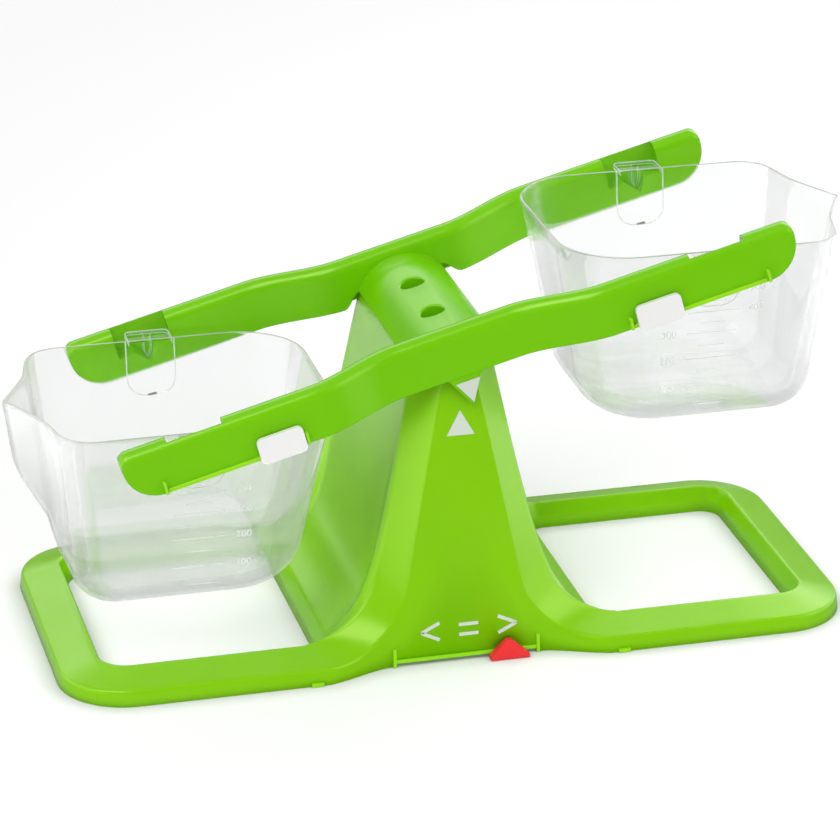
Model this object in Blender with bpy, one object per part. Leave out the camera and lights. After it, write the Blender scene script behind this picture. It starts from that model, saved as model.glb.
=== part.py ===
"""Nesting bucket balance: a stand moulded with its ring base, a rocking yoke of two beams and a saddle,
two clear pouring buckets, two zero-adjusting sliders and a comparison slider.

Metres, +Z up, +X along the beams to the right, the front of the object towards -Y.
The origin is the middle of the ring base, on the surface that it stands on.
"""

import math

import bmesh
import bpy
from mathutils import Matrix, Vector

# General mould sizes
WALL = 0.0020
GAP = 0.0003
OVERRUN = 0.0040
BITE = 0.0010
MERGE = 0.000002
SMOOTH_ANGLE = math.radians(36)

# Ring base
BASE_HALF_LENGTH = 0.1644
BASE_HALF_WIDTH = 0.0735
BASE_CORNER_RADIUS = 0.0285
BASE_CORNER_STEPS = 9
RAIL_TOP_WIDTH = 0.0168
RAIL_INNER_LEAN = 0.0036
RAIL_HEIGHT = 0.0108
CREASE_HEIGHT = 0.0066
OUTER_LEAN_SHARE = 0.122

# Stand: front panel, corner bands and hollow sides
PANEL_DEPTH = 0.0642
PANEL_HALF_AT_FLOOR = 0.0299
PANEL_TAPER_SHARE = 0.195
PANEL_SWEEP = 0.0310
OUTLINE_SWEEP_START = 0.0290
OUTLINE_SWEEP_END = 0.0620
SIDE_HALF_AT_FLOOR = 0.0403
SIDE_TAPER_SHARE = 0.195
SIDE_SWEEP = 0.0335
FRONT_BAND_LEAN_SHARE = 0.168
BACK_BAND_LEAN_SHARE = 0.066
FOOT_HALF = 0.0552
FOOT_CORNER_DEPTH = 0.0110
FLARE_SHARE = 0.437
FLARE_HEIGHT = 0.0084
STATION_POWER = 1.7
RAIL_STATION_SHARE = 0.14
SWEEP_STEPS = 10
RISE_STEPS = 4
TOP_STEPS = 4
SCOOP_STEPS = 10

# Lip, end ticks and slider slot under the front and back panels
LIP_HALF = 0.0293
LIP_BOTTOM = 0.0016
LIP_HEIGHT = 0.0014
LIP_REACH = 0.0009
TICK_WIDTH = 0.0014
TICK_REACH = 0.0013
PANEL_TICK_HEIGHT = 0.0076
SLOT_HEIGHT = 0.0016

# Small feet on the outline of the base
NUB_OFFSET = 0.0640
NUB_WIDTH = 0.0050
NUB_REACH = 0.0010
NUB_HEIGHT = 0.0016

# Rocking axis, its knife edge and the tilt that the stops allow
PIVOT_HEIGHT = 0.1244
TILT = math.radians(15)
KNIFE_HALF_ANGLE = math.radians(30)
KNIFE_HALF_LENGTH = 0.0300
BEARING_HALF_LENGTH = 0.0280
BEARING_HALF_WIDTH = 0.0035
BEARING_DROP = 0.0011
NOTCH_HALF_ANGLE = math.radians(52)

# Beams, measured along the beam and from the rocking axis
BEAM_HALF_LENGTH = 0.1410
BEAM_TOP = 0.0155
BEAM_BOTTOM = 0.0050
BEAM_THICKNESS = 0.0096
BEAM_INNER_AT_ARMS = 0.0552
BEAM_BOW = 0.0106
BOW_START = 0.0240
BOW_STEPS = 8
END_TOP_RADIUS = 0.0034
END_BOTTOM_RADIUS = 0.0140
END_STEPS = 7
EDGE_RADIUS = 0.0044
EDGE_RADIUS_LIMIT_SHARE = 0.42
EDGE_STEPS = 4
LIFT_START = 0.0183
LIFT_END = 0.0262
LIFT_STEPS = 5

# Saddle over the stand
SADDLE_HALF_WIDTH = 0.0183
SADDLE_EDGE_HEIGHT = 0.0009
SADDLE_CROWN = 0.0098
SADDLE_END_CROWN = 0.0113
SADDLE_BLEND = 0.0080
SADDLE_BLEND_STEPS = 5
SADDLE_STEPS = 16
HOLE_RADIUS = 0.0058
HOLE_OFFSET = 0.0165
HOLE_DEPTH = 0.0082
CUP_WALL = 0.0014
CUP_TOP = 0.0082
HOLE_SIDES = 24

# Hanging pockets in the beams
END_BEYOND_HANGER = 0.0315
HANG_OFFSET = BEAM_HALF_LENGTH - END_BEYOND_HANGER
HANG_DROP = 0.0012
POCKET_HALF = 0.0116
SHOULDER_HALF = 0.0080
SHOULDER_HEIGHT = 0.0031
HUMP_HEIGHT = 0.0038
HUMP_OFFSET = 0.0056
SEAT_HALF_ANGLE = math.radians(42)
POCKET_SIDE = 0.0020
CHANNEL_UNDER_POCKET = 0.0020
STEP_RUN = 0.0003

# Pointer under the front beam
POINTER_HALF = 0.0075
POINTER_DROP = 0.0132

# Slider tracks on the front beam
TRACK_LENGTH = 0.0587
END_BEYOND_TRACK = 0.0141
TRACK_END = BEAM_HALF_LENGTH - END_BEYOND_TRACK
TRACK_START = TRACK_END - TRACK_LENGTH
BOW_BEFORE_TRACK = 0.0062
BOW_END = TRACK_START - BOW_BEFORE_TRACK
TRACK_REVEAL = 0.0002
TRACK_LIP_HEIGHT = 0.0016
TRACK_LIP_REACH = 0.0008
TRACK_TICK_HEIGHT = 0.0052
TRACK_TICK_REACH = 0.0020
TRACK_TICK_WIDTH = 0.0012

# Zero-adjusting sliders
SLIDER_WIDTH = 0.0190
SLIDER_HEIGHT = 0.0110
SLIDER_WEB = 0.0011
SLIDER_PLATE = 0.0018
SLIDER_TONGUE = 0.0012
SLIDER_CORNER = 0.0022
SLIDER_CORNER_STEPS = 4
SLIDER_TONGUE_HEIGHT = 0.0014
SLIDER_FROM_START_LEFT = 0.0105
SLIDER_FROM_START_RIGHT = 0.0120
SLIDER_REST_LEFT = TRACK_START + SLIDER_FROM_START_LEFT
SLIDER_REST_RIGHT = TRACK_START + SLIDER_FROM_START_RIGHT

# Comparison slider
WEDGE_WIDTH = 0.0161
WEDGE_HEIGHT = 0.0077
WEDGE_REACH = 0.0037
WEDGE_TOP_WIDTH = 0.0024
WEDGE_TOP_REACH = 0.0016
WEDGE_SIDE = 0.0014
WEDGE_FLOOR_GAP = 0.0002
WEDGE_WEB = 0.0010
WEDGE_TONGUE = 0.0012
WEDGE_TONGUE_HEIGHT = 0.0040
WEDGE_REST = 0.0172

# Buckets, measured from the hanging axis, with +X towards the spout
RIM_HEIGHT = 0.0104
BUCKET_DEPTH = 0.0790
BUCKET_WALL = 0.0018
BACK_AT_RIM = 0.0600
BACK_AT_BASE = 0.0450
TIP_AT_RIM = 0.0700
FRONT_AT_BASE = 0.0478
HALF_WIDTH_AT_RIM = 0.0522
HALF_WIDTH_AT_BASE = 0.0420
BACK_CORNER = 0.0290
CORNER_X_AT_RIM = 0.0548
CORNER_Y_AT_RIM = 0.0395
CORNER_END_AT_RIM = 0.0395
CORNER_AT_BASE = 0.0175
FRONT_SLANT_SHARE = 0.22
BEZIER_SHARE = 0.55
BASE_ROUND = 0.0150
SMALLEST_RADIUS = 0.0006
SPOUT_REACH = 0.0113
SPOUT_HALF = 0.0250
SPOUT_STRAIGHT = 0.0240
SPOUT_DEPTH = 0.0620
SPOUT_FADE_SHARE = 0.5
SPOUT_POWER = 1.15
FRONT_STEPS = 7
CORNER_STEPS = 6
BASE_ROUND_STEPS = 5
SPOUT_LEVELS = 6

# Hangers of the buckets
HANGER_WIDTH = 0.0182
HANGER_END = 0.0622
HANGER_ROOT = 0.0016
HANGER_PLATE = 0.0014
HANGER_BELOW_RIM = 0.0002
HANGER_CORNER = 0.0026
RIB_HALF = 0.0015
RIB_POINT_HALF_ANGLE = math.radians(24)
PAD_HALF_WIDTH = 0.0102
PAD_BELOW_RIM = 0.0010
PAD_BOTTOM = 0.0136
PAD_CORNER = 0.0076
PAD_REACH = 0.0008
PAD_STEPS = 5

# Colours of the mouldings
GREEN = (0.235, 0.600, 0.010)
CLEAR = (0.900, 0.920, 0.920)
WHITE = (0.880, 0.880, 0.870)
RED = (0.780, 0.035, 0.035)


def clear_scene():
    for item in list(bpy.data.objects):
        bpy.data.objects.remove(item)


def plastic(name, colour, roughness, alpha):
    material = bpy.data.materials.new(name)
    material.use_nodes = True
    shader = material.node_tree.nodes["Principled BSDF"]
    shader.inputs["Base Color"].default_value = (*colour, 1)
    shader.inputs["Roughness"].default_value = roughness
    shader.inputs["Metallic"].default_value = 0
    shader.inputs["Alpha"].default_value = alpha
    return material


def add_object(name, bm):
    """Turns a bmesh into an object with its faces pointing outward."""
    bmesh.ops.remove_doubles(bm, verts=bm.verts, dist=MERGE)
    bmesh.ops.recalc_face_normals(bm, faces=bm.faces)
    mesh = bpy.data.meshes.new(name)
    bm.to_mesh(mesh)
    bm.free()
    item = bpy.data.objects.new(name, mesh)
    bpy.context.scene.collection.objects.link(item)
    return item


def apply_modifiers(item):
    """Applies the object's modifiers to its own mesh."""
    depsgraph = bpy.context.evaluated_depsgraph_get()
    mesh = bpy.data.meshes.new_from_object(item.evaluated_get(depsgraph))
    item.modifiers.clear()
    item.data = mesh


def combine(item, other, operation):
    """Applies an exact Boolean with the other object, which is used up."""
    modifier = item.modifiers.new(operation, "BOOLEAN")
    modifier.operation = operation
    modifier.solver = "EXACT"
    modifier.object = other
    apply_modifiers(item)
    bpy.data.objects.remove(other)


def join(item, other):
    combine(item, other, "UNION")


def cut(item, other):
    combine(item, other, "DIFFERENCE")


def finish(item, name, material):
    bm = bmesh.new()
    bm.from_mesh(item.data)
    bmesh.ops.remove_doubles(bm, verts=bm.verts, dist=MERGE)
    bmesh.ops.dissolve_degenerate(bm, edges=bm.edges, dist=MERGE)
    bm.to_mesh(item.data)
    bm.free()
    item.name = name
    item.data.name = name
    item.data.materials.clear()
    item.data.materials.append(material)
    item.data.shade_smooth()
    item.data.set_sharp_from_angle(angle=SMOOTH_ANGLE)
    return item


def place(item, position, turn):
    """Turns the mesh about its own origin and puts that origin at a place in the scene."""
    item.data.transform(turn)
    item.location = position


def lerp(a, b, t):
    return a + (b - a) * t


def smoothstep(t):
    t = min(max(t, 0), 1)
    return t * t * (3 - 2 * t)


def loft(bm, rings):
    """Adds a closed solid through rings with the same number of points, capped at both ends."""
    rows = [[bm.verts.new(p) for p in ring] for ring in rings]
    for row, following in zip(rows, rows[1:]):
        count = len(row)
        for i in range(count):
            j = (i + 1) % count
            bm.faces.new((row[i], row[j], following[j], following[i]))
    bm.faces.new(rows[0])
    bm.faces.new(rows[-1][::-1])


def solid(name, *parts):
    """One object from one or more lofts that don't touch each other."""
    bm = bmesh.new()
    for rings in parts:
        loft(bm, rings)
    return add_object(name, bm)


def box(low, high):
    ring = [(low[0], low[1]), (high[0], low[1]), (high[0], high[1]), (low[0], high[1])]
    return [[(x, y, z) for x, y in ring] for z in (low[2], high[2])]


def prism_y(outline, start, end):
    """Rings of an outline of (x, z) points, drawn out along Y."""
    return [[(x, y, z) for x, z in outline] for y in (start, end)]


def arc(centre, radius, start, end, steps):
    """Points on a circle between two angles, both ends included."""
    angles = [lerp(start, end, i / steps) for i in range(steps + 1)]
    return [(centre[0] + radius * math.cos(a), centre[1] + radius * math.sin(a)) for a in angles]


# Base and stand


def stand_top():
    """Height at which the stand's side walls stop the saddle's lower edge."""
    edge = SADDLE_EDGE_HEIGHT * math.cos(TILT) - SADDLE_HALF_WIDTH * math.sin(TILT)
    return PIVOT_HEIGHT + edge - GAP


def outline_depth(x):
    """Distance of the outer wall from the middle plane, at the floor."""
    share = (x - OUTLINE_SWEEP_START) / (OUTLINE_SWEEP_END - OUTLINE_SWEEP_START)
    return lerp(PANEL_DEPTH, BASE_HALF_WIDTH, smoothstep(share))


def sweep(half_at_floor, taper, height, radius):
    """An edge that leaves the rail, turns upward in an arc and climbs to the stand's top, as (x, z)."""
    corner = half_at_floor - taper * height
    turn = math.pi / 2 - math.atan(taper)
    centre = (corner + radius * math.tan(turn / 2), height + radius)
    start = -math.pi / 2
    points = arc(centre, radius, start, start - turn, SWEEP_STEPS)
    bottom = points[-1][1]
    for i in range(1, RISE_STEPS + 1):
        z = lerp(bottom, stand_top(), i / RISE_STEPS)
        points.append((half_at_floor - taper * z, z))
    return points


def crease_line():
    return sweep(PANEL_HALF_AT_FLOOR, PANEL_TAPER_SHARE, CREASE_HEIGHT, PANEL_SWEEP)


def edge_line():
    return sweep(SIDE_HALF_AT_FLOOR, SIDE_TAPER_SHARE, RAIL_HEIGHT, SIDE_SWEEP)


def crease_point(x, z):
    return Vector((x, -(outline_depth(x) - OUTER_LEAN_SHARE * z), z))


def band_point(x, z, lean):
    inset = BASE_HALF_WIDTH - RAIL_TOP_WIDTH
    return Vector((x, -(inset - lean * (z - RAIL_HEIGHT)), z))


def scoop(edge, foot):
    """Points down the stand's hollow side, from an edge point to the top of the opening's wall."""
    height = edge.z - foot.z
    end = math.exp(-height / FLARE_HEIGHT)
    points = []
    for i in range(SCOOP_STEPS, -1, -1):
        share = (i / SCOOP_STEPS) ** STATION_POWER
        flare = math.exp(-share * height / FLARE_HEIGHT) - share * end
        spread = (1 - FLARE_SHARE) * (1 - share) + FLARE_SHARE * flare
        plan = edge.lerp(foot, spread)
        points.append(Vector((plan.x, plan.y, lerp(foot.z, edge.z, share))))
    return points


def rail_sections():
    """Sections from the middle of the right end, round the corner and along the front rail."""
    radius = BASE_CORNER_RADIUS
    insets = [0, OUTER_LEAN_SHARE * CREASE_HEIGHT, RAIL_TOP_WIDTH, RAIL_TOP_WIDTH + RAIL_INNER_LEAN]
    heights = [0, CREASE_HEIGHT, RAIL_HEIGHT, 0]
    places = [[Vector((BASE_HALF_LENGTH - d, 0, z)) for d, z in zip(insets, heights)]]
    centre = (BASE_HALF_LENGTH - radius, -(BASE_HALF_WIDTH - radius))
    for i in range(BASE_CORNER_STEPS + 1):
        angle = -math.pi / 2 * i / BASE_CORNER_STEPS
        c, s = math.cos(angle), math.sin(angle)
        places.append([Vector((centre[0] + (radius - d) * c, centre[1] + (radius - d) * s, z))
                       for d, z in zip(insets, heights)])
    starts = (crease_line()[0][0], crease_line()[0][0], edge_line()[0][0], edge_line()[0][0])
    places.append([Vector((lerp(x, centre[0], RAIL_STATION_SHARE), -(BASE_HALF_WIDTH - d), z))
                   for x, d, z in zip(starts, insets, heights)])
    return [[a, b] + [c] * (SCOOP_STEPS + 1) + [d] for a, b, c, d in places]


def opening_corner(angle, edge_x):
    """Top and floor points of the opening's wall round the corner at the stand's foot."""
    centre_y = -(BASE_HALF_WIDTH - RAIL_TOP_WIDTH - FOOT_CORNER_DEPTH)
    points = []
    for lean, z in ((0, RAIL_HEIGHT), (RAIL_INNER_LEAN, 0)):
        x = edge_x + (edge_x - FOOT_HALF - lean) * math.cos(angle)
        points.append(Vector((x, centre_y + (FOOT_CORNER_DEPTH - lean) * math.sin(angle), z)))
    return points


def stand_sections(lean):
    """Sections up one of the stand's corner bands."""
    edges = edge_line()
    sections = []
    for i, (crease, edge) in enumerate(zip(crease_line(), edges)):
        angle = -math.pi / 2 * (1 + i / (len(edges) - 1))
        foot, opening = opening_corner(angle, edges[0][0])
        floor = Vector((crease[0], -outline_depth(crease[0]), 0))
        top = band_point(*edge, lean)
        sections.append([floor, crease_point(*crease)] + scoop(top, foot) + [opening])
    return sections


def side_lines(top):
    """Lines down the stand's side from its top edge to the opening, towards the middle plane."""
    foot, opening = opening_corner(-math.pi, edge_line()[0][0])
    lines = []
    for i in range(1, TOP_STEPS + 1):
        keep = 1 - i / TOP_STEPS
        edge, low, down = (Vector((p.x, p.y * keep, p.z)) for p in (top, foot, opening))
        lines.append(scoop(edge, low) + [down])
    return lines


def quarter(lean):
    """Grids of points and the top polygon for one quarter of the base and stand, at -Y."""
    sections = rail_sections() + stand_sections(lean)
    last = sections[-1]
    lines = side_lines(last[2])
    middle = [Vector((0, -PANEL_DEPTH, 0)), Vector((0, last[1].y, last[1].z))]
    top = [middle[1], last[1], last[2]] + [line[0] for line in lines] + [Vector((0, 0, last[1].z))]
    return [sections, [last[2:]] + lines, [last[:2], middle]], top


def base_skin():
    """Outer surface of the base and stand, open below, from a front and a back quarter and their mirrors."""
    bm = bmesh.new()
    for lean, sy in ((FRONT_BAND_LEAN_SHARE, 1), (BACK_BAND_LEAN_SHARE, -1)):
        grids, top = quarter(lean)
        for sx in (1, -1):
            for group in grids:
                rows = [[bm.verts.new((p.x * sx, p.y * sy, p.z)) for p in row] for row in group]
                for a, b in zip(rows, rows[1:]):
                    for i in range(len(a) - 1):
                        bm.faces.new((a[i], b[i], b[i + 1], a[i + 1]))
            bm.faces.new([bm.verts.new((p.x * sx, p.y * sy, p.z)) for p in top])
    return bm


def panel_bar(half, low, high, reach, side):
    """A bar across the foot of the front or back panel, standing out by its reach."""
    rings = []
    for z in (low, high):
        near = PANEL_DEPTH - OUTER_LEAN_SHARE * z
        outline = [(-half, near - BITE), (half, near - BITE), (half, near + reach), (-half, near + reach)]
        rings.append([(x, y * side, z) for x, y in outline])
    return rings


def shifted(rings, x):
    return [[(p[0] + x, p[1], p[2]) for p in ring] for ring in rings]


def make_base():
    base = add_object("base_skin", base_skin())
    shell = base.modifiers.new("wall", "SOLIDIFY")
    shell.thickness = WALL
    shell.offset = -1
    shell.use_even_offset = True
    shell.use_quality_normals = True
    apply_modifiers(base)
    for vertex in base.data.vertices:
        if vertex.co.z < WALL / 2:
            vertex.co.z = 0
    slots = []
    bars = []
    for side in (1, -1):
        near = (PANEL_DEPTH - WALL - OVERRUN) * side
        far = (PANEL_DEPTH + OVERRUN) * side
        slots.append(box((-LIP_HALF, min(near, far), -OVERRUN), (LIP_HALF, max(near, far), SLOT_HEIGHT)))
        bars.append(panel_bar(LIP_HALF - TICK_WIDTH - GAP, LIP_BOTTOM, LIP_BOTTOM + LIP_HEIGHT, LIP_REACH, side))
        tick = panel_bar(TICK_WIDTH / 2, 0, PANEL_TICK_HEIGHT, TICK_REACH, side)
        bars.append(shifted(tick, LIP_HALF + TICK_WIDTH / 2))
        bars.append(shifted(tick, -LIP_HALF - TICK_WIDTH / 2))
        for x in (NUB_OFFSET, -NUB_OFFSET):
            near = (BASE_HALF_WIDTH - BITE) * side
            far = (BASE_HALF_WIDTH + NUB_REACH) * side
            low = (x - NUB_WIDTH / 2, min(near, far), 0)
            bars.append(box(low, (x + NUB_WIDTH / 2, max(near, far), NUB_HEIGHT)))
    cut(base, solid("slots", *slots))
    join(base, solid("bars", *bars))
    root = stand_top() - BITE
    half = (PIVOT_HEIGHT - root) * math.tan(KNIFE_HALF_ANGLE)
    ridge = prism_y([(-half, root), (half, root), (0, PIVOT_HEIGHT)], -KNIFE_HALF_LENGTH, KNIFE_HALF_LENGTH)
    join(base, solid("ridge", ridge))
    return base


# Beam yoke, drawn level with its rocking axis at the origin


def beam_bow(x):
    """How far the beam's walls come in towards the middle plane near the stand."""
    return BEAM_BOW * (1 - smoothstep((abs(x) - BOW_START) / (BOW_END - BOW_START)))


def end_profile(inset):
    """Places along the rounded end of a beam, as (x, bottom, top), from the straight part outward."""
    centre_x = BEAM_HALF_LENGTH - END_BOTTOM_RADIUS
    radius = END_BOTTOM_RADIUS - inset
    rounding = END_TOP_RADIUS - inset
    top = BEAM_TOP - inset
    places = []
    for i in range(END_STEPS + 1):
        angle = math.pi / 2 * i / END_STEPS
        x = centre_x + radius * math.sin(angle)
        bottom = END_BOTTOM_RADIUS - BEAM_BOTTOM - radius * math.cos(angle)
        past = max(x - (BEAM_HALF_LENGTH - END_TOP_RADIUS), 0)
        height = top - rounding + math.sqrt(max(rounding ** 2 - past ** 2, 0))
        places.append((x, bottom, height))
    return places


def inner_lift(x):
    """Height of the inner wall's lower edge, which rises beside the saddle."""
    share = (abs(x) - LIFT_START) / (LIFT_END - LIFT_START)
    return lerp(SADDLE_EDGE_HEIGHT, -BEAM_BOTTOM, smoothstep(share))


def beam_ring(x, bottom, top, side):
    """Cross-section of a beam's outer form, with a rounded top."""
    near = BEAM_INNER_AT_ARMS - beam_bow(x)
    far = near + BEAM_THICKNESS
    radius = min(EDGE_RADIUS, (top - bottom) * EDGE_RADIUS_LIMIT_SHARE)
    lift = max(bottom, inner_lift(x))
    step = WALL + STEP_RUN
    outline = [(far, bottom)]
    outline += arc((far - radius, top - radius), radius, 0, math.pi / 2, EDGE_STEPS)
    outline += arc((near + radius, top - radius), radius, math.pi / 2, math.pi, EDGE_STEPS)
    outline += [(near, lift), (near + step, lift), (far - step, bottom)]
    return [(x, y * side, z) for y, z in outline]


def beam_outer(side):
    middle = [BOW_END * (1 - i / BOW_STEPS) + BOW_START * i / BOW_STEPS for i in range(BOW_STEPS + 1)]
    middle = [x for x in middle if x > LIFT_END]
    middle += [lerp(LIFT_END, LIFT_START, i / LIFT_STEPS) for i in range(LIFT_STEPS + 1)]
    right = end_profile(0)[::-1] + [(x, -BEAM_BOTTOM, BEAM_TOP) for x in middle]
    left = [(-x, bottom, top) for x, bottom, top in right[::-1]]
    return [beam_ring(x, bottom, top, side) for x, bottom, top in right + left]


def beam_cavity(side):
    """The hollow under a beam, shallow below its hanging pockets."""
    below = -BEAM_BOTTOM - OVERRUN
    roof = BEAM_TOP - WALL
    shallow = CHANNEL_UNDER_POCKET - BEAM_BOTTOM
    inner = HANG_OFFSET - POCKET_HALF - POCKET_SIDE
    outer = HANG_OFFSET + POCKET_HALF + POCKET_SIDE
    places = end_profile(WALL)[::-1]
    places.append((BEAM_HALF_LENGTH - END_BOTTOM_RADIUS - STEP_RUN, below, roof))
    places += [(outer, below, roof), (outer - STEP_RUN, below, shallow)]
    places += [(inner + STEP_RUN, below, shallow), (inner, below, roof)]
    places += [(lerp(BOW_END, BOW_START, i / BOW_STEPS), below, roof) for i in range(BOW_STEPS + 1)]
    places += [(-x, bottom, top) for x, bottom, top in places[::-1]]
    rings = []
    for x, bottom, top in places:
        near = BEAM_INNER_AT_ARMS - beam_bow(x) + WALL
        far = near + BEAM_THICKNESS - WALL - WALL
        slope = min(EDGE_RADIUS - WALL, (top - bottom) * EDGE_RADIUS_LIMIT_SHARE)
        if top <= shallow:
            slope = STEP_RUN
        outline = [(near, bottom), (far, bottom), (far, top - slope), (far - slope / 2, top),
                   (near + slope / 2, top), (near, top - slope)]
        rings.append([(x, y * side, z) for y, z in outline])
    return rings


def saddle_arch(crown, inset):
    """Arch of the saddle as (x, z) points from its left lower edge to its right one."""
    rise = crown - SADDLE_EDGE_HEIGHT
    radius = (SADDLE_HALF_WIDTH ** 2 + rise ** 2) / (2 * rise)
    centre = (0, crown - radius)
    sine = (SADDLE_EDGE_HEIGHT - centre[1]) / (radius - inset)
    low = math.asin(sine)
    return arc(centre, radius - inset, math.pi - low, low, SADDLE_STEPS)


def saddle_outer():
    end = BEAM_INNER_AT_ARMS - BEAM_BOW
    places = [(-end - BITE, SADDLE_END_CROWN)]
    for i in range(SADDLE_BLEND_STEPS + 1):
        share = i / SADDLE_BLEND_STEPS
        rise = lerp(SADDLE_END_CROWN, SADDLE_CROWN, 1 - (1 - share) ** 2)
        places.append((lerp(-end, -end + SADDLE_BLEND, share), rise))
    places += [(-y, crown) for y, crown in places[::-1]]
    return [[(x, y, z) for x, z in saddle_arch(crown, 0)] for y, crown in places]


def saddle_hollow():
    """Prism under the saddle that also opens the beams' inner walls over the stand."""
    reach = BEAM_INNER_AT_ARMS - BEAM_BOW + WALL + BITE
    outline = saddle_arch(SADDLE_CROWN, WALL)
    below = -BEAM_BOTTOM - OVERRUN
    outline += [(outline[-1][0], below), (outline[0][0], below)]
    return prism_y(outline, -reach, reach)


def cylinder(x, y, radius, low, high):
    ring = [(x + radius * math.cos(2 * math.pi * i / HOLE_SIDES),
             y + radius * math.sin(2 * math.pi * i / HOLE_SIDES)) for i in range(HOLE_SIDES)]
    return [[(a, b, z) for a, b in ring] for z in (low, high)]


def pocket_outline(sign):
    """Opening of a hanging pocket: shoulders, humps and the seat for the bucket's knife."""
    top = BEAM_TOP + OVERRUN
    seat = -HANG_DROP - GAP
    lip = (HUMP_HEIGHT - seat) * math.tan(SEAT_HALF_ANGLE)
    half = [(POCKET_HALF, top), (POCKET_HALF, SHOULDER_HEIGHT), (SHOULDER_HALF, SHOULDER_HEIGHT),
            (HUMP_OFFSET, HUMP_HEIGHT), (lip, HUMP_HEIGHT), (0, seat)]
    outline = half + [(-x, z) for x, z in half[-2::-1]]
    return [(sign * HANG_OFFSET + x, z) for x, z in outline]


def make_yoke():
    yoke = solid("beams", beam_outer(-1), beam_outer(1))
    join(yoke, solid("saddle", saddle_outer()))
    cut(yoke, solid("channels", beam_cavity(-1), beam_cavity(1)))
    cut(yoke, solid("hollow", saddle_hollow()))
    bearing = box((-BEARING_HALF_WIDTH, -BEARING_HALF_LENGTH, -BEARING_DROP),
                  (BEARING_HALF_WIDTH, BEARING_HALF_LENGTH, CUP_TOP))
    join(yoke, solid("bearing", bearing))
    floor = SADDLE_CROWN - HOLE_DEPTH
    cups = [cylinder(0, y, HOLE_RADIUS + CUP_WALL, floor - CUP_WALL, CUP_TOP) for y in (-HOLE_OFFSET, HOLE_OFFSET)]
    join(yoke, solid("cups", *cups))
    drills = [cylinder(0, y, HOLE_RADIUS, floor, SADDLE_CROWN + OVERRUN) for y in (-HOLE_OFFSET, HOLE_OFFSET)]
    cut(yoke, solid("drills", *drills))
    deep = BEARING_DROP + OVERRUN + GAP
    half = deep * math.tan(NOTCH_HALF_ANGLE)
    notch = [(0, GAP), (half, GAP - deep), (-half, GAP - deep)]
    reach = BEARING_HALF_LENGTH + OVERRUN
    cut(yoke, solid("notch", prism_y(notch, -reach, reach)))

    near = BEAM_INNER_AT_ARMS
    far = near + BEAM_THICKNESS
    pockets = []
    for sign in (-1, 1):
        for side in (-1, 1):
            ends = sorted(((near - OVERRUN) * side, (far - WALL) * side))
            pockets.append(prism_y(pocket_outline(sign), *ends))
    cut(yoke, solid("pockets", *pockets))

    bars = []
    low = TRACK_REVEAL - BEAM_BOTTOM
    for sign in (-1, 1):
        ends = sorted((sign * (TRACK_START + TRACK_TICK_WIDTH / 2), sign * (TRACK_END - TRACK_TICK_WIDTH / 2)))
        bars.append(box((ends[0] + GAP, -far - TRACK_LIP_REACH, low),
                        (ends[1] - GAP, BITE - far, low + TRACK_LIP_HEIGHT)))
        for x in (TRACK_START, TRACK_END):
            left = sign * x - TRACK_TICK_WIDTH / 2
            bars.append(box((left, -far - TRACK_TICK_REACH, low),
                            (left + TRACK_TICK_WIDTH, BITE - far, low + TRACK_TICK_HEIGHT)))
    face = BEAM_BOW - far
    pointer = [(-POINTER_HALF, BITE - BEAM_BOTTOM), (POINTER_HALF, BITE - BEAM_BOTTOM),
               (0, -BEAM_BOTTOM - POINTER_DROP)]
    bars.append(prism_y(pointer, face, face + WALL))
    join(yoke, solid("bars", *bars))
    place(yoke, (0, 0, PIVOT_HEIGHT), Matrix.Rotation(-TILT, 4, "Y"))
    return yoke


# Sliders


def make_slider(centre):
    """White clip that rides on the lower edge of the front beam's outer wall."""
    face = -BEAM_INNER_AT_ARMS - BEAM_THICKNESS
    plate_back = face - TRACK_LIP_REACH - GAP
    low = -BEAM_BOTTOM - GAP - SLIDER_WEB
    half = SLIDER_WIDTH / 2
    r = SLIDER_CORNER
    outline = []
    for cx, cz, start in ((half - r, SLIDER_HEIGHT - r, 0), (r - half, SLIDER_HEIGHT - r, math.pi / 2),
                          (r - half, r, math.pi), (half - r, r, math.pi * 3 / 2)):
        outline += arc((cx, cz + low), r, start, start + math.pi / 2, SLIDER_CORNER_STEPS)
    slider = solid("plate", prism_y(outline, plate_back - SLIDER_PLATE, plate_back))
    tongue_front = face + WALL + GAP
    inner = half - r
    clip = [(plate_back - SLIDER_PLATE / 2, low), (tongue_front + SLIDER_TONGUE, low),
            (tongue_front + SLIDER_TONGUE, low + SLIDER_WEB + GAP + SLIDER_TONGUE_HEIGHT),
            (tongue_front, low + SLIDER_WEB + GAP + SLIDER_TONGUE_HEIGHT),
            (tongue_front, low + SLIDER_WEB), (plate_back - SLIDER_PLATE / 2, low + SLIDER_WEB)]
    join(slider, solid("clip", [[(x, y, z) for y, z in clip] for x in (-inner, inner)]))
    turn = Matrix.Rotation(-TILT, 4, "Y")
    place(slider, Vector((0, 0, PIVOT_HEIGHT)) + turn @ Vector((centre, 0, 0)), turn)
    return slider


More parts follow.
